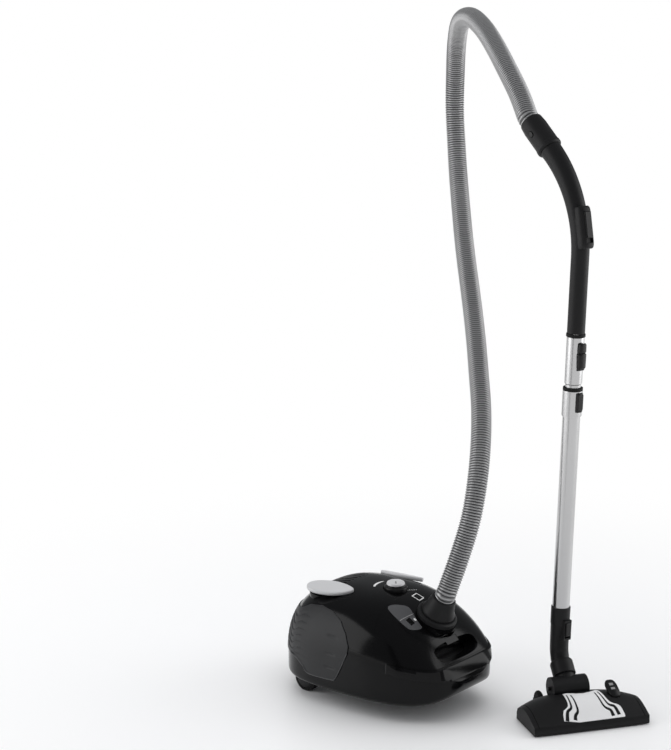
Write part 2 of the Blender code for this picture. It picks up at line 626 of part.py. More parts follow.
def handle_path():
    """The handle's centre line from the tube's top: straight, then bent towards the hose."""
    way = (BEND_WAY - UP * BEND_WAY.dot(UP)).normalized()
    points = [TUBE_TOP + UP * HANDLE_STRAIGHT * t for t in (0.0, 0.33, 0.66)]
    start = TUBE_TOP + UP * HANDLE_STRAIGHT
    for i in range(9):
        angle = HANDLE_BEND * i / 8
        points.append(start + way * HANDLE_BEND_R * (1 - math.cos(angle)) + UP * HANDLE_BEND_R * math.sin(angle))
    ahead = (UP * math.cos(HANDLE_BEND) + way * math.sin(HANDLE_BEND)).normalized()
    points.append(points[-1] + ahead * 0.006)
    return points, ahead, way


HANDLE_POINTS, CUFF_AXIS, BEND_SIDE = handle_path()
HANDLE_END = HANDLE_POINTS[-1]
CUFF_MOUTH = HANDLE_END + CUFF_AXIS * CUFF_LENGTH
HOSE_START = INLET + INLET_AXIS * (0.0063 + CUFF_HEIGHT + GAP)
HOSE_END = CUFF_MOUTH + CUFF_AXIS * GAP

# The hose rises from the canister, arches over behind the wand and comes down into its handle.
HOSE_ROUTE = [
    (0.023, -0.159, 0.301),
    (0.051, -0.166, 0.376),
    (0.084, -0.157, 0.447),
    (0.125, -0.134, 0.512),
    (0.170, -0.101, 0.569),
    (0.216, -0.061, 0.620),
    (0.264, -0.019, 0.669),
    (0.311, 0.024, 0.717),
    (0.357, 0.068, 0.766),
    (0.401, 0.111, 0.816),
    (0.444, 0.152, 0.869),
    (0.500, 0.206, 0.960),
    (0.524, 0.231, 1.032),
    (0.532, 0.243, 1.110),
    (0.523, 0.236, 1.188),
    (0.493, 0.211, 1.257),
    (0.447, 0.167, 1.304),
    (0.399, 0.106, 1.317),
    (0.355, 0.042, 1.299),
    (0.312, -0.018, 1.268),
    (0.271, -0.075, 1.231),
    (0.235, -0.131, 1.187),
]


def smooth(points, per_span):
    """Points along a centripetal-like smooth curve through the given ones."""
    ends = [points[0] * 2 - points[1], *points, points[-1] * 2 - points[-2]]
    found = []
    for a, b, c, d in zip(ends, ends[1:], ends[2:], ends[3:]):
        for i in range(per_span):
            t = i / per_span
            found.append(0.5 * ((2 * b) + (c - a) * t + (2 * a - 5 * b + 4 * c - d) * t**2 + (3 * b - a - 3 * c + d) * t**3))
    return [*found, points[-1]]


def tube_curve(name, points, radius):
    """A swept round bar: a poly spline with a round bevel."""
    curve = bpy.data.curves.new(name, "CURVE")
    curve.dimensions = "3D"
    curve.bevel_depth = radius
    curve.bevel_resolution = 2
    curve.use_fill_caps = True
    spline = curve.splines.new("POLY")
    spline.points.add(len(points) - 1)
    for slot, point in zip(spline.points, points):
        slot.co = (*point, 1.0)
    return curve


def place_curve(name, curve, finish, parent):
    obj = bpy.data.objects.new(name, curve)
    PARTS.objects.link(obj)
    obj.parent = parent
    obj.matrix_local = parent.matrix_world.inverted() @ Matrix.Translation(DATUM)
    curve.materials.append(finish)
    return obj


def swept_mesh(name, points, radii, steps=16, past=0.0):
    """A round bar swept along points, run past both ends by a length."""
    line = list(points)
    line[0] = line[0] - (line[1] - line[0]).normalized() * past
    line[-1] = line[-1] + (line[-1] - line[-2]).normalized() * past
    rings = []
    for i, (point, radius) in enumerate(zip(line, radii)):
        ahead = line[min(i + 1, len(line) - 1)] - line[max(i - 1, 0)]
        turn = frame_along(ahead, -BEND_SIDE)
        rings.append([point + turn @ Vector((x, y, 0.0)) for x, y in superellipse(radius, radius, 2.0, steps)])
    return loft_mesh(name, rings)


def make_hose():
    """Two lengths of the one hose, meeting half way: the lower moves with the lid, the upper with the handle."""
    leave, arrive = HOSE_START + INLET_AXIS * 0.012, HOSE_END + CUFF_AXIS * 0.012
    route = smooth([leave, *(Vector(point) for point in HOSE_ROUTE), arrive], 3)
    points = [HOSE_START, *route, HOSE_END]
    middle = len(points) // 2 - HOSE_SPLIT
    lower, upper = points[: middle + 1], points[middle:]
    apart = (upper[1] - upper[0]).normalized() * GAP
    upper[0] = upper[0] + apart
    for name, part in (("hose_lower", lower), ("hose_upper", upper)):
        place_curve(name, tube_curve(name, part, HOSE_R), HOSE_GREY, datum)


# ---- wand ----

wand_pivot = pivot("wand_pivot", TUBE_TOP)
telescope_pivot = pivot("telescope_pivot", TUBE_FOOT)
WAND_FRAME = Matrix.Translation(TUBE_FOOT) @ frame_along(UP, -BEND_SIDE).to_4x4()
TUBE_LENGTH = (TUBE_TOP - TUBE_FOOT).length


def make_handle():
    """Cuff at the hose's end, curved grip with its air slider, and the ring at its foot."""
    spin = pivot("handle_cuff_pivot", HANDLE_END, wand_pivot, frame_along(CUFF_AXIS))
    at = Matrix.Translation(HANDLE_END) @ frame_along(CUFF_AXIS).to_4x4()
    cuff = [
        (0.0170, GAP),
        (0.0225, GAP),
        (0.0250, 0.004),
        (0.0250, 0.010),
        (CUFF_R, 0.013),
        (CUFF_R, CUFF_LENGTH - 0.016),
        (0.0225, CUFF_LENGTH),
        (0.0170, CUFF_LENGTH),
    ]
    place("handle_cuff", turned_mesh("handle_cuff", cuff, 24), MATTE, spin, at)
    count = len(HANDLE_POINTS)
    radii = [0.0172 + 0.0038 * (i / (count - 1)) ** 1.5 for i in range(count)]
    grip = place("grip", swept_mesh("grip", HANDLE_POINTS, radii), MATTE, wand_pivot)

    ahead = frame_along(HANDLE_POINTS[6] - HANDLE_POINTS[4], -BEND_SIDE).to_4x4()
    slider_at = Matrix.Translation(HANDLE_POINTS[5]) @ ahead
    housing = [(x + 0.011, y) for x, y in superellipse(0.0145, 0.0155, 3.0, 24)]
    pad = helper("slider_pad", prism_mesh("slider_pad", housing, 0.039, Vector(), 2), slider_at)
    bevel(pad, 0.003)
    boolean(grip, pad, "UNION")
    bore = swept_mesh("grip_bore", HANDLE_POINTS, [r - 0.0028 for r in radii], 12, 0.002)
    boolean(grip, helper("grip_bore", bore))
    slot = box_mesh("slider_slot", (0.0205, -0.0085, -0.030), (0.04, 0.0085, 0.030))
    boolean(grip, helper("slider_slot", slot, slider_at))
    slide = pivot("air_slider_pivot", HANDLE_POINTS[5], wand_pivot)
    bar = box_mesh("air_slider", (0.0208, -0.0081, -0.0200), (0.0275, 0.0081, 0.0296))
    bevel(place("air_slider", bar, MATTE, slide, slider_at), 0.0012)


def make_telescope():
    """Inner tube with its lock, outer tube, collar, end ring and slide."""
    head, top = INNER_TUBE_HEAD, TUBE_LENGTH - 0.0072
    low, high = TUBE_LENGTH - 0.0065, TUBE_LENGTH - 0.0005
    ring = [(0.0150, low), (0.0185, low), (0.0185, high), (0.0150, high)]
    place("grip_ring", turned_mesh("grip_ring", ring, 24), RUBBER, wand_pivot, WAND_FRAME)
    inner = [
        (INNER_TUBE_BORE, INNER_TUBE_FOOT),
        (INNER_TUBE_R, INNER_TUBE_FOOT),
        (INNER_TUBE_R, head),
        (OUTER_TUBE_R, head + 0.0015),
        (OUTER_TUBE_R, top),
        (INNER_TUBE_BORE, top),
    ]
    tube = place("inner_tube", turned_mesh("inner_tube", inner, 24), ALUMINIUM, wand_pivot, WAND_FRAME)
    hole = box_mesh("lock_hole", (0.0100, -0.0078, 0.4990), (0.03, 0.0078, 0.5430))
    boolean(tube, helper("lock_hole", hole, WAND_FRAME))
    press = pivot("tube_lock_pivot", WAND_FRAME @ Vector((0.017, 0, 0.52)), wand_pivot)
    lock = box_mesh("tube_lock", (0.0146, -0.0074, 0.4994), (0.0212, 0.0074, 0.5426))
    bevel(place("tube_lock", lock, MATTE, press, WAND_FRAME), 0.0018)

    outer = [(OUTER_TUBE_BORE, 0.0), (OUTER_TUBE_R, 0.0), (OUTER_TUBE_R, COLLAR_TOP), (OUTER_TUBE_BORE, COLLAR_TOP)]
    place("outer_tube", turned_mesh("outer_tube", outer, 24), ALUMINIUM, telescope_pivot, WAND_FRAME)
    bore, radius = OUTER_TUBE_R + GAP, 0.0194
    collar = [(bore, COLLAR_FOOT), (radius, COLLAR_FOOT), (radius, COLLAR_TOP), (bore, COLLAR_TOP)]
    wide_tube = turned_mesh("telescope_collar", collar, 24)
    sleeve = place("telescope_collar", wide_tube, ALUMINIUM, telescope_pivot, WAND_FRAME)
    low, radius = COLLAR_TOP + GAP, 0.0192
    end = [(OUTER_TUBE_BORE, low), (radius, low), (radius, RING_TOP), (OUTER_TUBE_BORE, RING_TOP)]
    place("telescope_ring", turned_mesh("telescope_ring", end, 24), RUBBER, telescope_pivot, WAND_FRAME)
    window = box_mesh("slide_window", (0.0100, -0.0075, 0.4180), (0.03, 0.0075, 0.4530))
    boolean(sleeve, helper("slide_window", window, WAND_FRAME))
    slide = pivot("telescope_slide_pivot", WAND_FRAME @ Vector((0.018, 0, 0.434)), telescope_pivot)
    key = box_mesh("telescope_slide", (0.0176, -0.0071, 0.4225), (0.0235, 0.0071, 0.4526))
    bevel(place("telescope_slide", key, MATTE, slide, WAND_FRAME), 0.0015)


HEAD_BACK = Vector((-HEAD_LONG.y, HEAD_LONG.x, 0.0))
BARREL_CENTRE = HEAD_CENTRE + HEAD_LONG * BARREL_X + HEAD_BACK * BARREL_BACK + Vector((0, 0, BARREL_Z))
SWIVEL_AXIS = HEAD_BACK * math.sin(SWIVEL_LEAN) + Vector((0, 0, math.cos(SWIVEL_LEAN)))
SWIVEL_START, SWIVEL_END = 0.0245, 0.0245 + SWIVEL_LENGTH


def make_elbow():
    """Elbow from the tube's foot to the swivel, with its lock and the swivel's collar."""
    foot = BARREL_CENTRE + SWIVEL_AXIS * (SWIVEL_END + GAP)
    bend_points = [Vector((0.1625, -0.3055, 0.1120)), Vector((0.1598, -0.3075, 0.1360))]
    route = smooth([foot + SWIVEL_AXIS * 0.006, *bend_points, TUBE_FOOT - UP * 0.012], 3)
    line = [foot, *route, TUBE_FOOT - UP * GAP]
    bend = place("elbow", swept_mesh("elbow", line, [0.0183] * len(line)), MATTE, telescope_pivot)
    seat = OUTER_TUBE_R + GAP
    socket = [(0.0160, -0.0120), (0.0190, -0.0120), (0.0190, 0.0220), (seat, 0.0220), (seat, -GAP), (0.0160, -GAP)]
    ring = helper("elbow_socket", turned_mesh("elbow_socket", socket), WAND_FRAME)
    boolean(bend, ring, "UNION")
    pad = box_mesh("elbow_pad", (0.0100, -0.0095, -0.0420), (0.0225, 0.0095, -0.0020))
    boolean(bend, helper("elbow_pad", pad, WAND_FRAME), "UNION")
    bore = swept_mesh("elbow_bore", line, [0.0155] * len(line), 12, 0.002)
    boolean(bend, helper("elbow_bore", bore))
    slot = box_mesh("elbow_slot", (0.0166, -0.0070, -0.0380), (0.03, 0.0070, -0.0060))
    boolean(bend, helper("elbow_slot", slot, WAND_FRAME))
    press = pivot("elbow_lock_pivot", WAND_FRAME @ Vector((0.019, 0, -0.022)), telescope_pivot)
    lock = box_mesh("elbow_lock", (0.0169, -0.0066, -0.0336), (0.0255, 0.0066, -0.0064))
    bevel(place("elbow_lock", lock, MATTE, press, WAND_FRAME), 0.0015)

    at = Matrix.Translation(BARREL_CENTRE) @ frame_along(SWIVEL_AXIS, HEAD_LONG).to_4x4()
    sleeve = [
        (SPIGOT_R + GAP, SWIVEL_START),
        (SWIVEL_R, SWIVEL_START),
        (SWIVEL_R, SWIVEL_END - 0.004),
        (SWIVEL_R - 0.002, SWIVEL_END),
        (SPIGOT_R + GAP, SWIVEL_END),
    ]
    place("swivel_collar", turned_mesh("swivel_collar", sleeve, 24), MATTE, telescope_pivot, at)
    neck = pivot("neck_pivot", BARREL_CENTRE, telescope_pivot, frame_along(SWIVEL_AXIS, HEAD_LONG))
    across = Matrix.Translation(BARREL_CENTRE) @ frame_along(HEAD_LONG, UP).to_4x4()
    drum = cylinder_mesh("neck", BARREL_R, -BARREL_LENGTH / 2, BARREL_LENGTH / 2, 32)
    barrel = place("neck", drum, MATTE, neck, across)
    spigot = cylinder_mesh("neck_spigot", SPIGOT_R, 0.0, SWIVEL_END - 0.001, 28)
    boolean(barrel, helper("neck_spigot", spigot, at), "UNION")
    way = cylinder_mesh("neck_way", 0.0150, 0.0, 0.08, 24)
    boolean(barrel, helper("neck_way", way, at))
    axle_hole = cylinder_mesh("axle_hole", 0.0043, -0.06, 0.06, 16)
    boolean(barrel, helper("neck_axle_hole", axle_hole, across))
    return neck, across


HEAD_FRAME = Matrix.Translation(HEAD_CENTRE) @ frame_along(Vector((0, 0, 1)), HEAD_LONG).to_4x4()


def head_section(x, lift):
    """Half-round hump of the head at x, from the front lip over the top to the rear, closed along the bottom."""
    reach = abs(x) / (HEAD_LENGTH / 2 + 0.012)
    high = HEAD_END_HEIGHT + (HEAD_HEIGHT - HEAD_END_HEIGHT) * max(1 - reach**2.4, 0.0)
    shrink = 0.040 * max(reach - 0.55, 0.0) ** 1.5
    front, rear = -HEAD_DEPTH / 2 + 0.2 * shrink, HEAD_REAR - 1.6 * shrink
    points = [Vector((x, front + 0.001, HEAD_LOW)), Vector((x, front, HEAD_LOW + 0.004))]
    points.append(Vector((x, front + 0.001, HEAD_FRONT_HEIGHT)))
    for i in range(1, 9):
        t = i / 8
        y = front + (rear - front - 0.004) * t
        rise = math.sin(min(t / 0.62, 1.0) * math.pi / 2) ** 1.15
        fall = 1.0 - (0.28 + 0.45 * reach**3) * max((t - 0.62) / 0.38, 0.0) ** 2
        top = HEAD_FRONT_HEIGHT + (high - HEAD_FRONT_HEIGHT) * rise * fall
        points.append(Vector((x, y, top + lift)))
    return [*points, Vector((x, rear, HEAD_FRONT_HEIGHT - 0.004)), Vector((x, rear, HEAD_LOW))]


TRIM = [(-0.0315, 0.0315), (-0.0345, 0.0100), (-0.0357, -0.0120), (-0.0420, -0.0180), (-0.0520, -0.0230)]
TRIM += [(-0.0577, -0.0487), (0.0662, -0.0465), (0.0697, -0.0447), (0.0683, -0.0260), (0.0640, -0.0207)]
TRIM += [(0.0506, -0.0160), (0.0456, -0.0073), (0.0428, 0.0107), (0.0414, 0.0320), (0.0250, 0.0215), (0.0000, 0.0150)]


def head_form(name, lift=0.0):
    count = 13
    half = HEAD_LENGTH / 2
    stations = [half * math.sin(math.pi / 2 * (2 * i / (count - 1) - 1)) for i in range(count)]
    return loft_mesh(name, [head_section(x, lift) for x in stations])


def make_head(neck, across):
    """Floor head: cover, trim plate, sole, brush strips, pedal, axle and wheels."""
    head = pivot("head_pivot", BARREL_CENTRE, neck, frame_along(HEAD_LONG, UP))
    cover = place("head_cover", head_form("head_cover"), MATTE, head, HEAD_FRAME)
    wide = BARREL_LENGTH / 2 + 0.0012
    bay = box_mesh("neck_bay", (BARREL_X - wide, 0.0325, -0.01), (BARREL_X + wide, 0.09, 0.09))
    boolean(cover, helper("neck_bay", bay, HEAD_FRAME))
    hollow_low, hollow_high = (-0.104, -0.038, -0.01), (0.104, 0.0290, 0.0160)
    boolean(cover, helper("head_hollow", box_mesh("head_hollow", hollow_low, hollow_high), HEAD_FRAME))
    for side, sign in (("right", -1), ("left", 1)):
        x = BARREL_X + sign * (NECK_WHEEL_X + NECK_WHEEL_HALF + 0.0030)
        arm = box_mesh("arm", (x - 0.0025, 0.0333, 0.0130), (x + 0.0025, NECK_WHEEL_BACK + 0.006, 0.0220))
        boolean(cover, helper(f"wheel_arm_{side}", arm, HEAD_FRAME), "UNION")
    rod = cylinder_mesh("neck_axle", 0.0040, -0.0425, 0.0425, 16)
    place("neck_axle", rod, METAL, head, across)
    room = cylinder_mesh("axle_room", 0.0043, -0.0428, 0.0428, 16)
    boolean(cover, helper("axle_room", room, across))
    wheel_axis = HEAD_FRAME @ Vector((BARREL_X, NECK_WHEEL_BACK, NECK_WHEEL_R))
    roll = pivot("neck_wheel_pivot", wheel_axis, head, frame_along(HEAD_LONG, UP))
    for side, sign in (("right", -1), ("left", 1)):
        at = Matrix.Translation(wheel_axis) @ frame_along(HEAD_LONG, UP).to_4x4()
        low, high = sign * NECK_WHEEL_X - NECK_WHEEL_HALF, sign * NECK_WHEEL_X + NECK_WHEEL_HALF
        rim = [(0.0, low), (NECK_WHEEL_R - 0.003, low), (NECK_WHEEL_R, low + 0.003)]
        rim += [(NECK_WHEEL_R, high - 0.003), (NECK_WHEEL_R - 0.003, high), (0.0, high)]
        place(f"neck_wheel_{side}", turned_mesh("neck_wheel", rim, 24), RUBBER, roll, at)

    half, front, rear = HEAD_LENGTH / 2 - SOLE_INSET, -HEAD_DEPTH / 2 + SOLE_INSET, HEAD_REAR - SOLE_INSET - 0.001
    outline = [(-half, -0.034), (-half + 0.012, front), (half - 0.012, front), (half, -0.034)]
    outline += [(half, 0.022), (half - 0.036, rear), (-half + 0.036, rear), (-half, 0.022)]
    middle = SOLE_CLEARANCE + SOLE_THICKNESS / 2
    plate = prism_mesh("sole_plate", outline, SOLE_THICKNESS / 2, Vector((0, 0, middle)), 2)
    sole = place("sole_plate", plate, METAL, head, HEAD_FRAME)
    seat = [(x * (1 + GAP / half), y * (1 + GAP / half)) for x, y in outline]
    pocket = prism_mesh("sole_seat", seat, 0.0100, Vector((0, 0, SOLE_CLEARANCE + SOLE_THICKNESS + GAP - 0.0100)), 2)
    boolean(cover, helper("sole_seat", pocket, HEAD_FRAME))
    boolean(sole, helper("sole_bay", bay.copy(), HEAD_FRAME))
    boolean(sole, helper("mouth", box_mesh("mouth", (-0.100, -0.012, -0.01), (0.100, 0.010, 0.02)), HEAD_FRAME))
    brushes = pivot("brush_pivot", HEAD_CENTRE, head)
    for name, y in (("front", -0.0300), ("rear", 0.0220)):
        slot = box_mesh("brush_slot", (-0.1005, y - 0.0025, -0.01), (0.1005, y + 0.0025, 0.02))
        boolean(sole, helper(f"brush_slot_{name}", slot, HEAD_FRAME))
        strip = box_mesh("strip", (-0.1000, y - 0.0020, 0.0), (0.1000, y + 0.0020, 0.0105))
        place(f"brush_strip_{name}", strip, RUBBER, brushes, HEAD_FRAME)

    trim = place("head_trim", head_form("head_trim", 0.0013), SILVER, head, HEAD_FRAME)
    boolean(trim, helper("trim_under", head_form("trim_under", GAP), HEAD_FRAME))
    region = prism_mesh("trim_region", TRIM, 0.05, Vector((0, 0, 0.068)), 2)
    boolean(trim, helper("trim_region", region, HEAD_FRAME), "INTERSECT")

    pedal_at = HEAD_FRAME @ Matrix.Translation(HEAD_PEDAL) @ Matrix.Rotation(HEAD_PEDAL_TILT, 4, "X")
    half_wide, half_long, half = HEAD_PEDAL_WIDTH / 2, HEAD_PEDAL_LENGTH / 2, HEAD_PEDAL_THICKNESS / 2
    rock_at = pedal_at @ Vector((0, -half_long, 0))
    rock = pivot("head_pedal_pivot", rock_at, head, frame_along(HEAD_LONG, UP))
    around = superellipse(half_wide + 0.0010, half_long + 0.0010, 3.0, 24)
    room = prism_mesh("pedal_room", around, 0.0200, Vector((0, 0, 0.0200 - half - 0.0012)), 2)
    boolean(cover, helper("pedal_room", room, pedal_at))
    well = box_mesh("pedal_well", (0.0614, 0.0140, 0.0240), (0.0758, 0.0300, 0.09))
    boolean(cover, helper("pedal_well", well, HEAD_FRAME))
    pad = prism_mesh("head_pedal", superellipse(half_wide, half_long, 3.0, 24), half, Vector(), 2)
    pedal = place("head_pedal", pad, MATTE, rock, pedal_at)
    bevel(pedal, 0.0015)
    stem = helper("pedal_stem", box_mesh("pedal_stem", (0.0626, 0.0164, 0.0320), (0.0746, 0.0276, 0.0540)), HEAD_FRAME)
    boolean(pedal, stem, "UNION")


make_hose()
make_handle()
make_telescope()
NECK, ACROSS = make_elbow()
make_head(NECK, ACROSS)
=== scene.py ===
import math

import bmesh
import bpy
from mathutils import Matrix, Vector


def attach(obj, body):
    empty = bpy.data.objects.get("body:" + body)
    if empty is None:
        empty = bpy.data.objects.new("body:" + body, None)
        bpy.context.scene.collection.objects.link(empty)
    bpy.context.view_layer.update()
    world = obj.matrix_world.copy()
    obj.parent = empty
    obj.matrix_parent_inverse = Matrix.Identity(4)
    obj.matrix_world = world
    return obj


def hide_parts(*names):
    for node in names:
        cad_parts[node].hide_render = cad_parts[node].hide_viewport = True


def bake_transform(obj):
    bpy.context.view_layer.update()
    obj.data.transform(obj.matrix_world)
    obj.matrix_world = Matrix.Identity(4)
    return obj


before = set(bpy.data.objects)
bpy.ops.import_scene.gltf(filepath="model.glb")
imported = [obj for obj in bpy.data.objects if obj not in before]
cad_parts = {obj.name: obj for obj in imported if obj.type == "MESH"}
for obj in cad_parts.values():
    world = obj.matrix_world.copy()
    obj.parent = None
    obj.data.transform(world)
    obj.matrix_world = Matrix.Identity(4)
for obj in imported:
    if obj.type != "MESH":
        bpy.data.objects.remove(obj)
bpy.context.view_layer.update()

# Sizes repeated from the part's source. They are in the canister's own frame, which DATUM places.
DATUM = Vector((-0.0406, 0.1454, 0.0))
GAP = 0.0003
WALL = 0.0032
NOSE_Y, TAIL_Y = -0.215, 0.215
HALF_WIDTH, WIDEST_Y, CROWN_Y = 0.1525, 0.022, 0.023
CROWN_Z, END_Z, BELLY_Z = 0.2194, 0.080, 0.030
WIDEST_Z_NOSE, WIDEST_Z_TAIL = 0.108, 0.061
SEAM_Z, SEAM_SLOPE = 0.1375, 0.137
UPPER_POWER, LOWER_POWER = 2.59, 10.3
LID_HINGE, LID_CUT_TILT = Vector((0.0, -0.050, 0.2120)), math.radians(22)
INLET = Vector((0.0, -0.125, 0.185))
INLET_AXIS = Vector((0.0, -0.407, 0.9135)).normalized()
BOSS_R, BOSS_DEPTH, FLANGE_R, FLANGE_DEPTH, INLET_HOLE_R = 0.0435, 0.030, 0.041, 0.0050, 0.0292
CUFF_FOOT, CUFF_HEIGHT = 0.0063, 0.038
WHEEL_Y, WHEEL_X, WHEEL_R, WHEEL_WIDTH = 0.118, 0.106, 0.026, 0.026
CASTER_Y, CASTER_WELL_R = -0.125, 0.031
KNOB = Vector((0.0, -0.022, 0.2135))
PEDAL_LENGTH, PEDAL_WIDTH, PEDAL_THICKNESS = 0.098, 0.041, 0.0085
POWER_PEDAL, REWIND_PEDAL = Vector((-0.081, 0.080, 0.2165)), Vector((0.090, 0.032, 0.2080))
POWER_TURN, REWIND_TURN = (math.radians(22), math.radians(-19)), (math.radians(8), math.radians(18))
HOSE_R, HOSE_SPLIT = 0.020, 8
TUBE_FOOT, TUBE_TOP = Vector((0.1536, -0.3122, 0.1827)), Vector((0.1625, -0.3242, 0.7517))
BEND_WAY = Vector((0.2131, 0.9765, 0.0))
HANDLE_STRAIGHT, HANDLE_BEND_R, HANDLE_BEND = 0.147, 0.240, math.radians(51)
CUFF_LENGTH = 0.074
HEAD_CENTRE, HEAD_LONG = Vector((0.1110, -0.3980, 0.0)), Vector((0.8316, -0.5554, 0.0))
HEAD_LENGTH, HEAD_DEPTH, HEAD_HEIGHT, HEAD_END_HEIGHT = 0.238, 0.100, 0.050, 0.030
HEAD_FRONT_HEIGHT, HEAD_REAR, HEAD_LOW = 0.0185, 0.060, 0.0020
SOLE_THICKNESS, SOLE_CLEARANCE, SOLE_INSET = 0.0050, 0.0012, 0.0040
BARREL_X, BARREL_LENGTH = -0.009, 0.074
NECK_WHEEL_X, NECK_WHEEL_BACK, NECK_WHEEL_HALF = 0.048, 0.086, 0.005
HEAD_PEDAL, HEAD_PEDAL_TILT = Vector((0.0686, 0.0180, 0.0530)), math.radians(26)
HEAD_PEDAL_WIDTH, HEAD_PEDAL_LENGTH, HEAD_PEDAL_THICKNESS = 0.024, 0.044, 0.0070

# The visible surface is finer than the solids: points in each section, and sections along the canister
FINE_RING, FINE_BODY = 120, 72
CORE_RING, CORE_BODY = 64, 36

# ---- camera, stage and light ----

CAMERA_AT = Vector((-3.0131, -2.2143, 1.54))
CAMERA_TURN = (math.radians(76.8), 0.0, math.radians(-50.0))
LENS = 96.0
PALE_ROOM, ROOM_STRENGTH = (0.80, 0.82, 0.85, 1.0), 0.30
WHITE_PAPER = (1.0, 1.0, 1.0, 1.0)
LIGHT_AIM = Vector((0.0, 0.0, 0.5))
# Name, place, size, power, and whether reflections show it
SOFTBOXES = (
    ("light_top", (0.3, 0.3, 3.2), (4.5, 4.5), 78.0, False),
    ("light_left", (-1.9, 1.9, 1.3), (2.2, 2.6), 36.0, True),
    ("light_right", (1.9, -1.8, 1.2), (2.2, 2.6), 36.0, True),
    ("light_back", (1.9, 2.6, 1.9), (2.2, 1.6), 30.0, False),
)
CARD_AT, CARD_HALF_WIDTH, CARD_HEIGHT = (-2.08, -0.28, 0.0), 0.16, 2.6
FLOOR_RADIUS, FADE_START, FADE_END = 40.0, 0.45, 1.6


def add_object(name, data, location=(0, 0, 0), rotation=(0, 0, 0)):
    obj = bpy.data.objects.new(name, data)
    obj.location = location
    obj.rotation_euler = rotation
    bpy.context.scene.collection.objects.link(obj)
    return obj


def new_material(name):
    """A material with its nodes, links and shader."""
    made = bpy.data.materials.new(name)
    made.use_nodes = True
    nodes = made.node_tree.nodes
    return made, nodes, made.node_tree.links, nodes["Principled BSDF"]


def make_camera():
    lens = bpy.data.cameras.new("camera")
    lens.lens = LENS
    lens.clip_end = 60.0
    bpy.context.scene.camera = add_object("camera", lens, CAMERA_AT, CAMERA_TURN)


def make_light():
    world = bpy.data.worlds.new("studio")
    bpy.context.scene.world = world
    world.use_nodes = True
    nodes, links = world.node_tree.nodes, world.node_tree.links
    room, paper = nodes["Background"], nodes.new("ShaderNodeBackground")
    room.inputs["Color"].default_value = PALE_ROOM
    room.inputs["Strength"].default_value = ROOM_STRENGTH
    paper.inputs["Color"].default_value = WHITE_PAPER
    paper.inputs["Strength"].default_value = 1.0
    seen, mix = nodes.new("ShaderNodeLightPath"), nodes.new("ShaderNodeMixShader")
    links.new(seen.outputs["Is Camera Ray"], mix.inputs["Fac"])
    links.new(room.outputs["Background"], mix.inputs[1])
    links.new(paper.outputs["Background"], mix.inputs[2])
    links.new(mix.outputs["Shader"], nodes["World Output"].inputs["Surface"])
    bpy.context.scene.view_settings.view_transform = "Standard"
    for name, at, size, power, glossy in SOFTBOXES:
        light = bpy.data.lights.new(name, "AREA")
        light.shape = "RECTANGLE"
        light.size, light.size_y = size
        light.energy = power
        obj = add_object(name, light, at)
        obj.rotation_euler = (LIGHT_AIM - Vector(at)).to_track_quat("-Z", "Y").to_euler()
        obj.visible_camera = False
        obj.visible_glossy = glossy


def make_dark_card():
    """A tall dark card outside the picture, seen only in reflections, for the streak on the tubes."""
    mesh = bpy.data.meshes.new("dark_card")
    foot = [(0, -CARD_HALF_WIDTH, 0), (0, CARD_HALF_WIDTH, 0)]
    top = [(0, CARD_HALF_WIDTH, CARD_HEIGHT), (0, -CARD_HALF_WIDTH, CARD_HEIGHT)]
    mesh.from_pydata(foot + top, [], [(0, 1, 2, 3)])
    card = add_object("dark_card", mesh, CARD_AT)
    made, _, _, shader = new_material("dark_card")
    shader.inputs["Base Color"].default_value = (0.02, 0.02, 0.02, 1.0)
    mesh.materials.append(made)
    card.visible_camera = False
    card.visible_shadow = False
    card.visible_diffuse = False


def make_floor():
    """A wide pale disc whose own light takes over far from the object, so it fades into the background."""
    mesh = bpy.data.meshes.new("floor")
    shape = bmesh.new()
    bmesh.ops.create_circle(shape, cap_ends=True, segments=96, radius=FLOOR_RADIUS)
    shape.to_mesh(mesh)
    shape.free()
    floor = add_object("floor", mesh)
    made, nodes, links, shader = new_material("floor")
    shader.inputs["Base Color"].default_value = (0.93, 0.93, 0.935, 1.0)
    shader.inputs["Roughness"].default_value = 0.32
    shader.inputs["Specular IOR Level"].default_value = 0.35
    glow, mix = nodes.new("ShaderNodeEmission"), nodes.new("ShaderNodeMixShader")
    place, reach = nodes.new("ShaderNodeTexCoord"), nodes.new("ShaderNodeVectorMath")
    reach.operation = "LENGTH"
    fade = nodes.new("ShaderNodeMapRange")
    fade.interpolation_type = "SMOOTHSTEP"
    fade.inputs["From Min"].default_value = FADE_START
    fade.inputs["From Max"].default_value = FADE_END
    links.new(place.outputs["Object"], reach.inputs[0])
    links.new(reach.outputs["Value"], fade.inputs["Value"])
    links.new(fade.outputs["Result"], mix.inputs["Fac"])
    links.new(shader.outputs["BSDF"], mix.inputs[1])
    links.new(glow.outputs["Emission"], mix.inputs[2])
    links.new(mix.outputs["Shader"], nodes["Material Output"].inputs["Surface"])
    mesh.materials.append(made)


# ---- materials ----


BROAD_SCALE, RELIEF_DEPTH, ROUGHNESS_SPREAD = 9.0, 0.001, 0.2


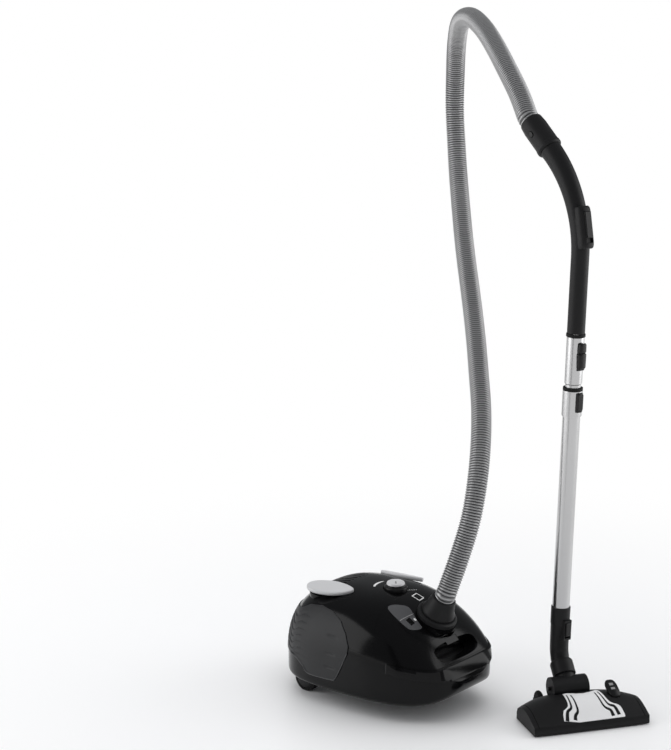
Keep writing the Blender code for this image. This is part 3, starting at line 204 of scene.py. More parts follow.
def finish(name, colour, roughness, metallic=0.0, shine=0.5, grain=600.0, bump=0.02, vary=0.15, stretch=None):
    """A surface that varies in colour, roughness and relief. stretch draws its noise out along an axis."""
    made, nodes, links, shader = new_material(name)
    shader.inputs["Metallic"].default_value = metallic
    shader.inputs["Specular IOR Level"].default_value = shine
    place, scale = nodes.new("ShaderNodeTexCoord"), nodes.new("ShaderNodeMapping")
    scale.inputs["Scale"].default_value = stretch or (1, 1, 1)
    fine, broad = nodes.new("ShaderNodeTexNoise"), nodes.new("ShaderNodeTexNoise")
    fine.inputs["Scale"].default_value = grain
    fine.inputs["Detail"].default_value = 3.0
    broad.inputs["Scale"].default_value = BROAD_SCALE
    broad.inputs["Detail"].default_value = 4.0
    links.new(place.outputs["Object"], scale.inputs["Vector"])
    links.new(scale.outputs["Vector"], fine.inputs["Vector"])
    links.new(place.outputs["Object"], broad.inputs["Vector"])
    tone = nodes.new("ShaderNodeMapRange")
    tone.inputs["To Min"].default_value = 1.0 - vary
    tone.inputs["To Max"].default_value = 1.0 + vary
    links.new(broad.outputs["Fac"], tone.inputs["Value"])
    tint = nodes.new("ShaderNodeMix")
    tint.data_type = "RGBA"
    tint.blend_type = "MULTIPLY"
    tint.inputs["Factor"].default_value = 1.0
    tint.inputs["A"].default_value = (*colour, 1.0)
    links.new(tone.outputs["Result"], tint.inputs["B"])
    links.new(tint.outputs["Result"], shader.inputs["Base Color"])
    rough = nodes.new("ShaderNodeMapRange")
    rough.inputs["To Min"].default_value = roughness * (1 - ROUGHNESS_SPREAD)
    rough.inputs["To Max"].default_value = roughness * (1 + ROUGHNESS_SPREAD)
    links.new(fine.outputs["Fac"], rough.inputs["Value"])
    links.new(rough.outputs["Result"], shader.inputs["Roughness"])
    relief = nodes.new("ShaderNodeBump")
    relief.inputs["Strength"].default_value = bump
    relief.inputs["Distance"].default_value = RELIEF_DEPTH
    links.new(fine.outputs["Fac"], relief.inputs["Height"])
    links.new(relief.outputs["Normal"], shader.inputs["Normal"])
    return made


# How dark the grooves are painted: painted shade in the hose's creases
GROOVE_SHADE = 0.05


def hose_finish():
    """Grey ribs with darker, duller grooves: painted shade, from an attribute on the hose's mesh."""
    made = finish("hose_grey", (0.36, 0.36, 0.365), 0.32, 0.6, grain=900.0, bump=0.05, vary=0.08)
    nodes, links = made.node_tree.nodes, made.node_tree.links
    shader = nodes["Principled BSDF"]
    # The grooves' painted shade: the hose's colour darkened in the grooves by the attribute on its mesh
    painted_groove_shade, ramp = nodes.new("ShaderNodeAttribute"), nodes.new("ShaderNodeMapRange")
    painted_groove_shade.attribute_name = "painted_groove_shade"
    ramp.inputs["To Min"].default_value = GROOVE_SHADE
    ramp.inputs["To Max"].default_value = 1.0
    links.new(painted_groove_shade.outputs["Fac"], ramp.inputs["Value"])
    shade = nodes.new("ShaderNodeMix")
    shade.data_type = "RGBA"
    shade.blend_type = "MULTIPLY"
    shade.inputs["Factor"].default_value = 1.0
    links.new(shader.inputs["Base Color"].links[0].from_socket, shade.inputs["A"])
    links.new(ramp.outputs["Result"], shade.inputs["B"])
    links.new(shade.outputs["Result"], shader.inputs["Base Color"])
    return made


make_camera()
make_light()
make_dark_card()
make_floor()

GLOSS = finish("gloss_black", (0.0028, 0.0028, 0.0031), 0.15, shine=0.17, grain=240.0, bump=0.004)
MATTE = finish("matte_black", (0.0085, 0.0085, 0.0090), 0.48, shine=0.22, grain=1500.0, bump=0.10)
SATIN = finish("satin_black", (0.0070, 0.0070, 0.0075), 0.34, shine=0.25, grain=1500.0, bump=0.05)
GRILLE = finish("grille_grey", (0.0225, 0.0228, 0.0240), 0.46, shine=0.25, grain=1300.0, bump=0.08)
LIP = finish("grille_lip", (0.045, 0.046, 0.048), 0.36, shine=0.35, grain=1300.0, bump=0.05)
SHADOW = finish("joint_shadow", (0.0012, 0.0012, 0.0012), 0.80, shine=0.05, grain=900.0, bump=0.02)
SILVER = finish("silver_paint", (0.60, 0.60, 0.61), 0.42, 0.15, grain=2200.0, bump=0.04, vary=0.04)
PANEL = finish("panel_grey", (0.075, 0.076, 0.080), 0.34, 0.1, shine=0.4, grain=1800.0, bump=0.03)
LIGHT_EDGE = finish("light_edge", (0.40, 0.40, 0.40), 0.45, grain=1500.0, bump=0.03, vary=0.04)
WHITE = finish("white_print", (0.72, 0.72, 0.72), 0.50, grain=1500.0, bump=0.02, vary=0.03)
DRAWN = (1, 1, 0.02)
TUBE = finish("tube_metal", (0.50, 0.50, 0.505), 0.24, 1.0, grain=420.0, bump=0.03, vary=0.05, stretch=DRAWN)
HOSE = hose_finish()
RUBBER = finish("rubber_black", (0.0075, 0.0075, 0.0075), 0.65, shine=0.2, grain=1200.0, bump=0.15)
WINDOW = finish("window_dark", (0.0008, 0.0008, 0.0010), 0.10, shine=0.2, grain=200.0, bump=0.003)
PLATE = finish("head_plate", (0.82, 0.82, 0.825), 0.40, 0.1, grain=2000.0, bump=0.03, vary=0.03)
ICON = finish("icon_grey", (0.26, 0.26, 0.26), 0.50, grain=1500.0, bump=0.02, vary=0.03)
PAPER = finish("bag_paper", (0.60, 0.50, 0.36), 0.85, grain=350.0, bump=0.4)
FELT = finish("filter_felt", (0.70, 0.70, 0.67), 0.92, grain=500.0, bump=0.6)
STEEL = finish("motor_steel", (0.50, 0.50, 0.51), 0.32, 1.0, grain=500.0, bump=0.05, stretch=(1, 0.05, 1))
SOLE = finish("sole_steel", (0.10, 0.10, 0.105), 0.40, 0.9, grain=500.0, bump=0.05, stretch=(1, 0.05, 1))
BOARD = finish("board_green", (0.02, 0.15, 0.06), 0.40, grain=700.0, bump=0.06)
BRISTLE = finish("bristle_black", (0.02, 0.02, 0.02), 0.80, grain=1800.0, bump=0.9, stretch=(1, 1, 0.1))


# ---- mesh helpers, in the canister's frame ----


def mesh_from(build, name):
    mesh = bpy.data.meshes.new(name)
    shape = bmesh.new()
    build(shape)
    bmesh.ops.recalc_face_normals(shape, faces=shape.faces)
    shape.to_mesh(mesh)
    shape.free()
    return mesh


def box_mesh(name, low, high):
    low, high = Vector(low), Vector(high)
    to_place = Matrix.Translation((low + high) / 2) @ Matrix.Diagonal((*(high - low), 1.0))
    return mesh_from(lambda shape: bmesh.ops.create_cube(shape, size=1.0, matrix=to_place), name)


def cylinder_mesh(name, radius, low, high):
    size = dict(radius1=radius, radius2=radius, depth=high - low, segments=64)
    middle = Matrix.Translation((0, 0, (low + high) / 2))
    return mesh_from(lambda shape: bmesh.ops.create_cone(shape, cap_ends=True, matrix=middle, **size), name)


def turned_mesh(name, profile):
    """A body turned about Z from a closed outline of (radius, height) points."""

    def build(shape):
        loop = [shape.verts.new((max(r, 0.0), 0.0, z)) for r, z in profile]
        edges = [shape.edges.new((a, b)) for a, b in zip(loop, loop[1:] + loop[:1])]
        round_z = dict(cent=(0, 0, 0), axis=(0, 0, 1), angle=math.tau, steps=96, use_merge=True)
        bmesh.ops.spin(shape, geom=loop + edges, **round_z)
        bmesh.ops.remove_doubles(shape, verts=shape.verts, dist=1e-6)
        bmesh.ops.dissolve_degenerate(shape, edges=shape.edges, dist=1e-7)

    return mesh_from(build, name)


def loft_mesh(name, rings, closed=True):
    """A body through rings of equal point counts, with flat ends, or an open sheet through rows."""

    def build(shape):
        rows = [[shape.verts.new(point) for point in ring] for ring in rings]
        for first, second in zip(rows, rows[1:]):
            for i in range(len(first) if closed else len(first) - 1):
                j = (i + 1) % len(first)
                shape.faces.new((first[i], first[j], second[j], second[i]))
        if closed:
            shape.faces.new(rows[0])
            shape.faces.new(rows[-1][::-1])

    return mesh_from(build, name)


def prism_mesh(name, outline, depth, origin, along):
    """An outline pushed both ways by depth. along is the outline plane's normal axis, 0, 1 or 2."""

    def lift(point, offset):
        values = list(point)
        values.insert(along, offset)
        return Vector(values) + origin

    return loft_mesh(name, [[lift(p, -depth) for p in outline], [lift(p, depth) for p in outline]])


def bent(value, power):
    return math.copysign(abs(value) ** (2 / power), value)


def superellipse(half_x, half_y, power, steps):
    turns = [math.tau * step / steps for step in range(steps)]
    return [(half_x * bent(math.cos(turn), power), half_y * bent(math.sin(turn), power)) for turn in turns]


def circle(radius, steps):
    return superellipse(radius, radius, 2.0, steps)


def rounded(outline, rounds=2):
    """The outline with its corners cut again and again, which rounds them."""
    for _ in range(rounds):
        cut = []
        for (ax, ay), (bx, by) in zip(outline, outline[1:] + outline[:1]):
            cut.append((ax * 0.75 + bx * 0.25, ay * 0.75 + by * 0.25))
            cut.append((ax * 0.25 + bx * 0.75, ay * 0.25 + by * 0.75))
        outline = cut
    return outline


def frame_along(axis, side=Vector((1, 0, 0))):
    z = axis.normalized()
    x = (side - z * side.dot(z)).normalized()
    return Matrix((x, z.cross(x), z)).transposed()


def smooth(points, per_span):
    ends = [points[0] * 2 - points[1], *points, points[-1] * 2 - points[-2]]
    found = []
    for a, b, c, d in zip(ends, ends[1:], ends[2:], ends[3:]):
        for i in range(per_span):
            t = i / per_span
            cubic = (3 * b - a - 3 * c + d) * t**3
            found.append(0.5 * ((2 * b) + (c - a) * t + (2 * a - 5 * b + 4 * c - d) * t**2 + cubic))
    return [*found, points[-1]]


def swept_mesh(name, points, radii, steps=40):
    rings = []
    for i, (point, radius) in enumerate(zip(points, radii)):
        ahead = points[min(i + 1, len(points) - 1)] - points[max(i - 1, 0)]
        turn = frame_along(ahead)
        rings.append([point + turn @ Vector((x, y, 0.0)) for x, y in circle(radius, steps)])
    return loft_mesh(name, rings)


def round_edges(shape, width, segments, limit):
    """Bevels the edges that turn by more than the limit."""
    sharp = [edge for edge in shape.edges if len(edge.link_faces) == 2 and edge.calc_face_angle(0.0) > limit]
    how = dict(segments=segments, profile=0.5, affect="EDGES", clamp_overlap=True)
    bmesh.ops.bevel(shape, geom=sharp, offset=width, **how)


def bevelled(mesh, width, segments=3):
    """Rounds the mesh's sharp edges in place."""
    shape = bmesh.new()
    shape.from_mesh(mesh)
    round_edges(shape, width, segments, math.radians(35.0))
    shape.to_mesh(mesh)
    shape.free()
    return mesh


CUTTERS = []


def helper(mesh, at=None):
    """A cutter. It's removed before the end."""
    obj = add_object("cutter", mesh)
    obj.matrix_world = Matrix.Translation(DATUM) @ (at or Matrix.Identity(4))
    obj.hide_render = True
    CUTTERS.append(obj)
    return obj


def box_cutter(low, high, at=None):
    return helper(box_mesh("box", low, high), at)


def drum_cutter(radius, low, high, at):
    return helper(cylinder_mesh("drum", radius, low, high), at)


def prism_cutter(outline, depth, origin, along, at=None):
    return helper(prism_mesh("prism", outline, depth, Vector(origin), along), at)


def half_cutter(at, along, sign):
    """Everything on one side of a cut, with half of the gap left beside it."""
    low, high = [-0.5] * 3, [0.5] * 3
    (low if sign > 0 else high)[along] = sign * GAP / 2
    return box_cutter(low, high, at)


def carve(obj, keeps, cuts, adds=()):
    """Cuts the object by the cutters and applies the result."""
    for operation, cutters in (("INTERSECT", keeps), ("DIFFERENCE", cuts), ("UNION", adds)):
        for cutter in cutters:
            modifier = obj.modifiers.new(operation.lower(), "BOOLEAN")
            modifier.operation = operation
            modifier.object = cutter
    bpy.context.view_layer.update()
    graph = bpy.context.evaluated_depsgraph_get()
    mesh = bpy.data.meshes.new_from_object(obj.evaluated_get(graph))
    obj.modifiers.clear()
    obj.data = mesh


def joined(base, cuts, keeps, adds):
    """One mesh from a base, cut and kept, with other bodies joined on."""
    obj = add_object(base.name, base)
    obj.matrix_world = Matrix.Translation(DATUM)
    carve(obj, keeps, cuts, adds)
    mesh = obj.data
    bpy.data.objects.remove(obj)
    return mesh


def piece(name, mesh, look, body, stands_for=None, at=None, cuts=(), keeps=(), angle=32.0):
    """A visible piece from a mesh in the canister's frame: cut, smoothed, and riding on its body."""
    obj = add_object(name, mesh)
    obj.matrix_world = Matrix.Translation(DATUM) @ (at or Matrix.Identity(4))
    if cuts or keeps:
        carve(obj, keeps, cuts)
    obj.data.materials.clear()
    obj.data.materials.append(look)
    obj.data.shade_smooth()
    obj.data.set_sharp_from_angle(angle=math.radians(angle))
    if body:
        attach(obj, body)
    if stands_for:
        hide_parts(stands_for)
    return obj


def backed(obj, thickness):
    """Gives an open sheet its thickness, inwards."""
    depth = obj.modifiers.new("depth", "SOLIDIFY")
    depth.thickness = thickness
    depth.offset = -1.0


SHARP_EDGE = 0.0005


def refined(node, look, body, width=SHARP_EDGE):
    """A CAD node's own shape with its triangles merged and its edges rounded, standing for the node."""
    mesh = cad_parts[node].data.copy()
    shape = bmesh.new()
    shape.from_mesh(mesh)
    bmesh.ops.remove_doubles(shape, verts=shape.verts, dist=2e-6)
    flat = dict(angle_limit=math.radians(1.5), use_dissolve_boundaries=False)
    bmesh.ops.dissolve_limit(shape, verts=shape.verts, edges=shape.edges, **flat)
    round_edges(shape, width, 2, 0.7)
    shape.to_mesh(mesh)
    shape.free()
    if "custom_normal" in mesh.attributes:
        mesh.attributes.remove(mesh.attributes["custom_normal"])
    obj = piece(f"{node}_fine", mesh, look, body, node, Matrix.Translation(-DATUM))
    weighted = obj.modifiers.new("weighted", "WEIGHTED_NORMAL")
    weighted.keep_sharp = True


# ---- hose ----

RIB_PITCH, RIB_SIDES = 0.0053, 28
UP = (TUBE_TOP - TUBE_FOOT).normalized()


def handle_path(per_bend=8):
    """The handle's centre line from the tube's top: straight, then bent towards the hose."""
    way = (BEND_WAY - UP * BEND_WAY.dot(UP)).normalized()
    points = [TUBE_TOP + UP * HANDLE_STRAIGHT * t for t in (0.0, 0.33, 0.66)]
    start = TUBE_TOP + UP * HANDLE_STRAIGHT
    for i in range(per_bend + 1):
        angle = HANDLE_BEND * i / per_bend
        out, rise = HANDLE_BEND_R * (1 - math.cos(angle)), HANDLE_BEND_R * math.sin(angle)
        points.append(start + way * out + UP * rise)
    ahead = (UP * math.cos(HANDLE_BEND) + way * math.sin(HANDLE_BEND)).normalized()
    points.append(points[-1] + ahead * 0.006)
    return points, ahead, way


HANDLE_POINTS, CUFF_AXIS, BEND_SIDE = handle_path()
HANDLE_END = HANDLE_POINTS[-1]
WAND_FRAME = Matrix.Translation(TUBE_FOOT) @ frame_along(UP, -BEND_SIDE).to_4x4()
HOSE_START = INLET + INLET_AXIS * (CUFF_FOOT + CUFF_HEIGHT + GAP)
HOSE_END = HANDLE_END + CUFF_AXIS * (CUFF_LENGTH + GAP)
# The hose's way from the canister to the handle, repeated from the part's source
HOSE_ROUTE = [
    (0.023, -0.159, 0.301),
    (0.051, -0.166, 0.376),
    (0.084, -0.157, 0.447),
    (0.125, -0.134, 0.512),
    (0.170, -0.101, 0.569),
    (0.216, -0.061, 0.620),
    (0.264, -0.019, 0.669),
    (0.311, 0.024, 0.717),
    (0.357, 0.068, 0.766),
    (0.401, 0.111, 0.816),
    (0.444, 0.152, 0.869),
    (0.500, 0.206, 0.960),
    (0.524, 0.231, 1.032),
    (0.532, 0.243, 1.110),
    (0.523, 0.236, 1.188),
    (0.493, 0.211, 1.257),
    (0.447, 0.167, 1.304),
    (0.399, 0.106, 1.317),
    (0.355, 0.042, 1.299),
    (0.312, -0.018, 1.268),
    (0.271, -0.075, 1.231),
    (0.235, -0.131, 1.187),
]

# One rib: place along the pitch, radius against the hose's, and how light it is painted, the darker grooves
# being painted shade
RIB = [(0.00, 0.925, 0.0), (0.16, 0.945, 0.3), (0.30, 1.010, 1.0)]
RIB += [(0.50, 1.025, 1.0), (0.70, 1.010, 1.0), (0.84, 0.945, 0.3)]


def hose_line():
    """The hose's two lengths as in the solids, each a list of points."""
    straight = 0.012
    leave, arrive = HOSE_START + INLET_AXIS * straight, HOSE_END + CUFF_AXIS * straight
    route = smooth([leave, *(Vector(point) for point in HOSE_ROUTE), arrive], 3)
    points = [HOSE_START, *route, HOSE_END]
    middle = len(points) // 2 - HOSE_SPLIT
    return points[: middle + 1], points[middle:]


def ribbed_hose(name, points, phase):
    """A ribbed tube along points. phase is how far along the hose it starts, so the ribs run on."""
    dense = smooth(points, 6)
    marks = [0.0]
    for a, b in zip(dense, dense[1:]):
        marks.append(marks[-1] + (b - a).length)
    total = marks[-1]
    stations, ribs = [], int((total + phase) / RIB_PITCH) + 1
    for count in range(int(phase / RIB_PITCH), ribs):
        for share, reach, light in RIB:
            s = (count + share) * RIB_PITCH - phase
            if 0.0 <= s <= total:
                stations.append((s, reach, light))
    stations = [(0.0, *stations[0][1:])] + stations + [(total, *stations[-1][1:])]
    centres, rings, lights = [], [], []
    side, at = Vector((1, 0, 0)), 0
    for s, reach, light in stations:
        while at < len(marks) - 2 and marks[at + 1] < s:
            at += 1
        span = marks[at + 1] - marks[at]
        ahead = (dense[at + 1] - dense[at]).normalized()
        point = dense[at] + ahead * (s - marks[at]) if span else dense[at]
        turn = frame_along(ahead, side)
        side = turn @ Vector((1, 0, 0))
        centres.append(point)
        rings.append([point + turn @ Vector((x, y, 0.0)) for x, y in circle(HOSE_R * reach, RIB_SIDES)])
        lights += [light] * RIB_SIDES
    obj = piece(name, loft_mesh(name, rings), HOSE, None, angle=80.0)
    # The grooves' painted shade, kept on the mesh for the hose's material
    painted_groove_shade = obj.data.attributes.new("painted_groove_shade", "FLOAT", "POINT")
    painted_groove_shade.data.foreach_set("value", lights)
    return obj, centres, total


def make_hose():
    lower, upper = hose_line()
    foot, foot_centres, foot_length = ribbed_hose("hose_lower_ribbed", lower, 0.0)
    arch, arch_centres, arch_length = ribbed_hose("hose_upper_ribbed", upper, foot_length)
    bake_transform(foot)
    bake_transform(arch)
    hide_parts("hose_lower")
    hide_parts("hose_upper")


make_hose()

# ---- canister form ----


def arc(distance, length, outer_power, inner_power):
    """A rounded fall from one to nothing over the length."""
    return max(1 - (distance / length) ** inner_power, 0.0) ** outer_power


def half_width(y):
    if y < WIDEST_Y:
        return HALF_WIDTH * arc(WIDEST_Y - y, WIDEST_Y - NOSE_Y, 0.36, 2.45)
    return HALF_WIDTH * arc(y - WIDEST_Y, TAIL_Y - WIDEST_Y, 0.70, 3.4)


def crown_z(y):
    if y < CROWN_Y:
        return END_Z + (CROWN_Z - END_Z) * arc(CROWN_Y - y, CROWN_Y - NOSE_Y, 1.03, 2.5)
    return END_Z + (CROWN_Z - END_Z) * arc(y - CROWN_Y, TAIL_Y - CROWN_Y, 0.64, 3.1)


def belly_z(y):
    return END_Z - (END_Z - BELLY_Z) * arc(abs(y), TAIL_Y, 0.5, 6.0 if y < 0 else 15.0)


def widest_z(y):
    return WIDEST_Z_NOSE + (WIDEST_Z_TAIL - WIDEST_Z_NOSE) * (y - NOSE_Y) / (TAIL_Y - NOSE_Y)


def seam_z(y):
    return SEAM_Z + SEAM_SLOPE * y


def spans(y, inset=0.0):
    """The section at y: half width, its middle's height, and how far it reaches up and down from there."""
    low, high = belly_z(y) + inset, crown_z(y) - inset
    middle = min(max(widest_z(y), low + 0.002), high - 0.002)
    return max(half_width(y) - inset, 0.004), middle, high - middle, middle - low


def form_ring(y, inset, steps):
    wide, middle, rise, drop = spans(y, inset)
    ring = []
    for step in range(steps):
        angle = math.tau * (step + 0.5) / steps
        c, s = math.cos(angle), math.sin(angle)
        power, reach = (UPPER_POWER, rise) if s > 0 else (LOWER_POWER, drop)
        ring.append(Vector((wide * bent(c, power), y, middle + reach * bent(s, power))))
    return ring


def form_mesh(name, inset=0.0, steps=FINE_RING, stations=FINE_BODY):
    middle, reach = (NOSE_Y + TAIL_Y) / 2, (TAIL_Y - NOSE_Y) / 2 - 0.0015
    turns = [math.pi * (i / stations - 0.5) for i in range(stations + 1)]
    rings = [form_ring(middle + reach * math.sin(t), inset, steps) for t in turns]
    if inset:
        for ring, y in ((rings[0], NOSE_Y + inset), (rings[-1], TAIL_Y - inset)):
            for point in ring:
                point.y = y
    return loft_mesh(name, rings)


def beyond(point):
    """Below zero inside the canister's form, above zero outside."""
    wide, middle, rise, drop = spans(min(max(point.y, NOSE_Y + 0.0015), TAIL_Y - 0.0015))
    up = point.z - middle
    power = UPPER_POWER if up > 0 else LOWER_POWER
    return (abs(point.x) / wide) ** power + (abs(up) / (rise if up > 0 else drop)) ** power - 1


def nose_point(angle, drop, out):
    """The form's point ahead of the middle, at an angle from straight ahead and this far below the seam."""
    way = Vector((math.sin(angle), -math.cos(angle), 0.0))
    near, far = 0.02, 0.25
    for _ in range(40):
        reach = (near + far) / 2
        point = Vector((0.0, -0.050, 0.0)) + way * reach
        point.z = seam_z(point.y) - drop
        near, far = (near, reach) if point.y < NOSE_Y + 0.0015 or beyond(point) > 0 else (reach, far)
    steps = [Vector(way) * 0.0005 for way in ((1, 0, 0), (0, 1, 0), (0, 0, 1))]
    slopes = [beyond(point + step) - beyond(point - step) for step in steps]
    return point + Vector(slopes).normalized() * out


def side_point(y, z, sign, out=0.0):
    """The point of the form's side at y and z, moved out along the surface's normal."""

    def reach(y, z):
        wide, middle, rise, drop = spans(y)
        up = z - middle
        part = min(abs(up) / (rise if up > 0 else drop), 1.0)
        power = UPPER_POWER if up > 0 else LOWER_POWER
        return wide * max(1 - part**power, 0.0) ** (1 / power)

    d = 0.0008
    back, up = reach(y - d, z) - reach(y + d, z), reach(y, z - d) - reach(y, z + d)
    point = Vector((reach(y, z), y, z)) + Vector((1.0, back / (2 * d), up / (2 * d))).normalized() * out
    return Vector((sign * point.x, point.y, point.z))


def top_point(x, y, out=0.0):
    """The point of the form's top at x and y, moved out along the surface's normal."""

    def height(x, y):
        wide, middle, rise, _ = spans(y)
        return middle + rise * max(1 - min(abs(x) / wide, 1.0) ** UPPER_POWER, 0.0) ** (1 / UPPER_POWER)

    d = 0.0008
    across, back = height(x - d, y) - height(x + d, y), height(x, y - d) - height(x, y + d)
    return Vector((x, y, height(x, y))) + Vector((across / (2 * d), back / (2 * d), 1.0)).normalized() * out


# ---- canister casing ----

INLET_FRAME = Matrix.Translation(INLET) @ frame_along(INLET_AXIS).to_4x4()
SEAM_FRAME = Matrix.Translation((0, 0, SEAM_Z)) @ Matrix.Rotation(math.atan(SEAM_SLOPE), 4, "X")
LID_CUT_FRAME = Matrix.Translation(LID_HINGE) @ Matrix.Rotation(-LID_CUT_TILT, 4, "X")
INNER = helper(form_mesh("inner", WALL, CORE_RING, CORE_BODY))
ABOVE, BELOW = half_cutter(SEAM_FRAME, 2, 1), half_cutter(SEAM_FRAME, 2, -1)
AHEAD, BEHIND = half_cutter(LID_CUT_FRAME, 1, -1), half_cutter(LID_CUT_FRAME, 1, 1)
SKY = 0.26

WHEEL_ROOM, CASTER_WELL_TOP = 0.004, 0.046
OUTLET, OUTLET_R = Vector((0.060, TAIL_Y - 0.040, 0.075)), 0.0113
KNOB_SEAT_R = 0.0256
PLINTH_INSET, PLINTH_TOP, PLINTH_HALF_DEPTH = (0.0030, 0.0050), -0.0100, 0.0061
PEDAL_ROOM, PEDAL_ROOM_FOOT, PEDAL_ROOM_HALF = 0.0012, -0.0100, 0.0145

# The opening under the nose's arch, and what stands in it
ARCH_HALF_WIDTH, ARCH_HALF_HEIGHT, ARCH_POWER, ARCH_DEPTH = 0.0733, 0.0540, 3.6, 0.06
ARCH_MIDDLE = Vector((0, -0.2017, 0.1023))
MOUTH_HALF_WIDTH, MOUTH_HALF_HEIGHT, MOUTH_MIDDLE = 0.064, 0.0150, Vector((0, -0.193, 0.1290))
RECESS_HALF_WIDTH, RECESS_BACK, RECESS_INSET = 0.0655, -0.1400, GAP + 0.0030

GRILLE_HALF_WIDTH, GRILLE_FRONT, GRILLE_REAR = 0.045, 0.072, 0.130
SLITS, SLIT_PITCH, SLIT_HALF_WIDTH, SLIT_MARGIN = 7, 0.0115, 0.0024, 0.004


def pedal_outline(half_wide, half_long, steps=64):
    """A leaf: broad and round at the rear, drawn to a blunt point at the front."""
    points = []
    for x, y in superellipse(half_wide, half_long, 2.3, steps):
        ahead = max(-y / half_long, 0.0)
        points.append((x * (1 - 0.42 * ahead**1.6), y))
    return points


def pedal_frame(centre, turn):
    return Matrix.Translation(centre) @ Matrix.Rotation(turn[0], 4, "Z") @ Matrix.Rotation(turn[1], 4, "Y")


def pad_mesh(name, levels, outline, wide, long):
    """A pad through outlines at levels, each a height and a share of the full width."""
    rings = []
    for z, share in levels:
        ring = outline(wide * share, long * (1 - (1 - share) * wide / long))
        rings.append([Vector((x, y, z)) for x, y in ring])
    return loft_mesh(name, rings)


POWER_FRAME, REWIND_FRAME = pedal_frame(POWER_PEDAL, POWER_TURN), pedal_frame(REWIND_PEDAL, REWIND_TURN)


def make_lower_shell():
    """The casing below the seam, with wells for its wheels and a hole for the cord."""
    half, wells = WHEEL_WIDTH / 2, []
    for sign in (-1, 1):
        hub = Matrix.Translation((sign * WHEEL_X, WHEEL_Y, WHEEL_R))
        hub = hub @ frame_along(Vector((sign, 0, 0)), Vector((0, 1, 0))).to_4x4()
        wells.append(drum_cutter(WHEEL_R + WHEEL_ROOM, -half - WHEEL_ROOM, half + 0.003, hub))
    wells.append(drum_cutter(CASTER_WELL_R, 0.0, CASTER_WELL_TOP, Matrix.Translation((0, CASTER_Y, 0))))
    outwards = Matrix.Translation(OUTLET) @ Matrix.Rotation(-math.pi / 2, 4, "X")
    cuts = [INNER, *wells, drum_cutter(OUTLET_R, -0.02, 0.05, outwards)]
    piece("lower_shell_fine", form_mesh("lower"), GLOSS, "canister", "lower_shell", cuts=cuts, keeps=[BELOW])


def make_rear_cover():
    """The casing behind the lid, with plinths under the pedals and seats for the knob and the grille."""
    rooms = [drum_cutter(KNOB_SEAT_R, KNOB.z - 0.0005, SKY, Matrix.Translation((0, KNOB.y, 0)))]
    wide, front, rear = GRILLE_HALF_WIDTH + GAP, GRILLE_FRONT - GAP, GRILLE_REAR + GAP
    rooms.append(box_cutter((-wide, front, 0.10), (wide, rear, SKY)))
    plinths = []
    for at in (POWER_FRAME, REWIND_FRAME):
        skirt = pedal_outline(PEDAL_WIDTH / 2 - PLINTH_INSET[0], PEDAL_LENGTH / 2 - PLINTH_INSET[1])
        middle = PLINTH_TOP - PLINTH_HALF_DEPTH
        plinths.append(prism_cutter(skirt, PLINTH_HALF_DEPTH, (0, 0, middle), 2, at))
        around = pedal_outline(PEDAL_WIDTH / 2 + PEDAL_ROOM, PEDAL_LENGTH / 2 + PEDAL_ROOM)
        rooms.append(prism_cutter(around, PEDAL_ROOM_HALF, (0, 0, PEDAL_ROOM_FOOT + PEDAL_ROOM_HALF), 2, at))
    cover = joined(form_mesh("rear"), [INNER], [ABOVE, BEHIND], plinths)
    piece("rear_cover_fine", cover, GLOSS, "canister", "rear_cover", cuts=rooms)


def make_lid():
    """The lid with its hose inlet, and the handle frame in the opening under its nose."""
    boss = drum_cutter(BOSS_R, -BOSS_DEPTH, -FLANGE_DEPTH, INLET_FRAME)
    hole = drum_cutter(INLET_HOLE_R, -0.05, 0.05, INLET_FRAME)
    flange = drum_cutter(FLANGE_R + GAP, -FLANGE_DEPTH, 0.05, INLET_FRAME)
    arch = superellipse(ARCH_HALF_WIDTH, ARCH_HALF_HEIGHT, ARCH_POWER, 72)
    opening = prism_cutter(arch, ARCH_DEPTH, ARCH_MIDDLE, 1)
    lid = joined(form_mesh("lid"), [INNER], [ABOVE, AHEAD], [boss])
    piece("lid_fine", lid, GLOSS, "lid", "lid", cuts=[hole, flange, opening])

    around_boss = drum_cutter(BOSS_R + 0.0006, -BOSS_DEPTH - 0.0005, 0.05, INLET_FRAME)
    inside = superellipse(ARCH_HALF_WIDTH - GAP, ARCH_HALF_HEIGHT - GAP, ARCH_POWER, 72)
    region = prism_cutter(inside, ARCH_DEPTH, ARCH_MIDDLE - Vector((0, GAP, 0)), 1)
    mouth = prism_cutter(superellipse(MOUTH_HALF_WIDTH, MOUTH_HALF_HEIGHT, 3.0, 72), 0.045, MOUTH_MIDDLE, 1)
    slot = box_cutter((-0.0186, -0.2000, 0.1400), (0.0186, -0.1535, 0.1486))
    cuts, keeps = [mouth, slot, around_boss], [region, ABOVE]
    piece("handle_frame_fine", form_mesh("handle"), GLOSS, "lid", "handle_frame", cuts=cuts, keeps=keeps)
    for name, front, low, high in (("floor", -0.2040, 0.1075, 0.1110), ("back", -0.1440, 0.1100, 0.1160)):
        slab = box_cutter((-RECESS_HALF_WIDTH, front, low), (RECESS_HALF_WIDTH, RECESS_BACK, high))
        piece(f"recess_{name}", form_mesh(name, RECESS_INSET), SATIN, "canister", keeps=[slab])
    catch = box_cutter((-0.0180, -0.1760, 0.1385), (0.0180, -0.1545, 0.1480))
    latch = form_mesh("latch", 0.0008)
    piece("lid_latch_fine", latch, GLOSS, "latch", "lid_latch", cuts=[around_boss], keeps=[catch])


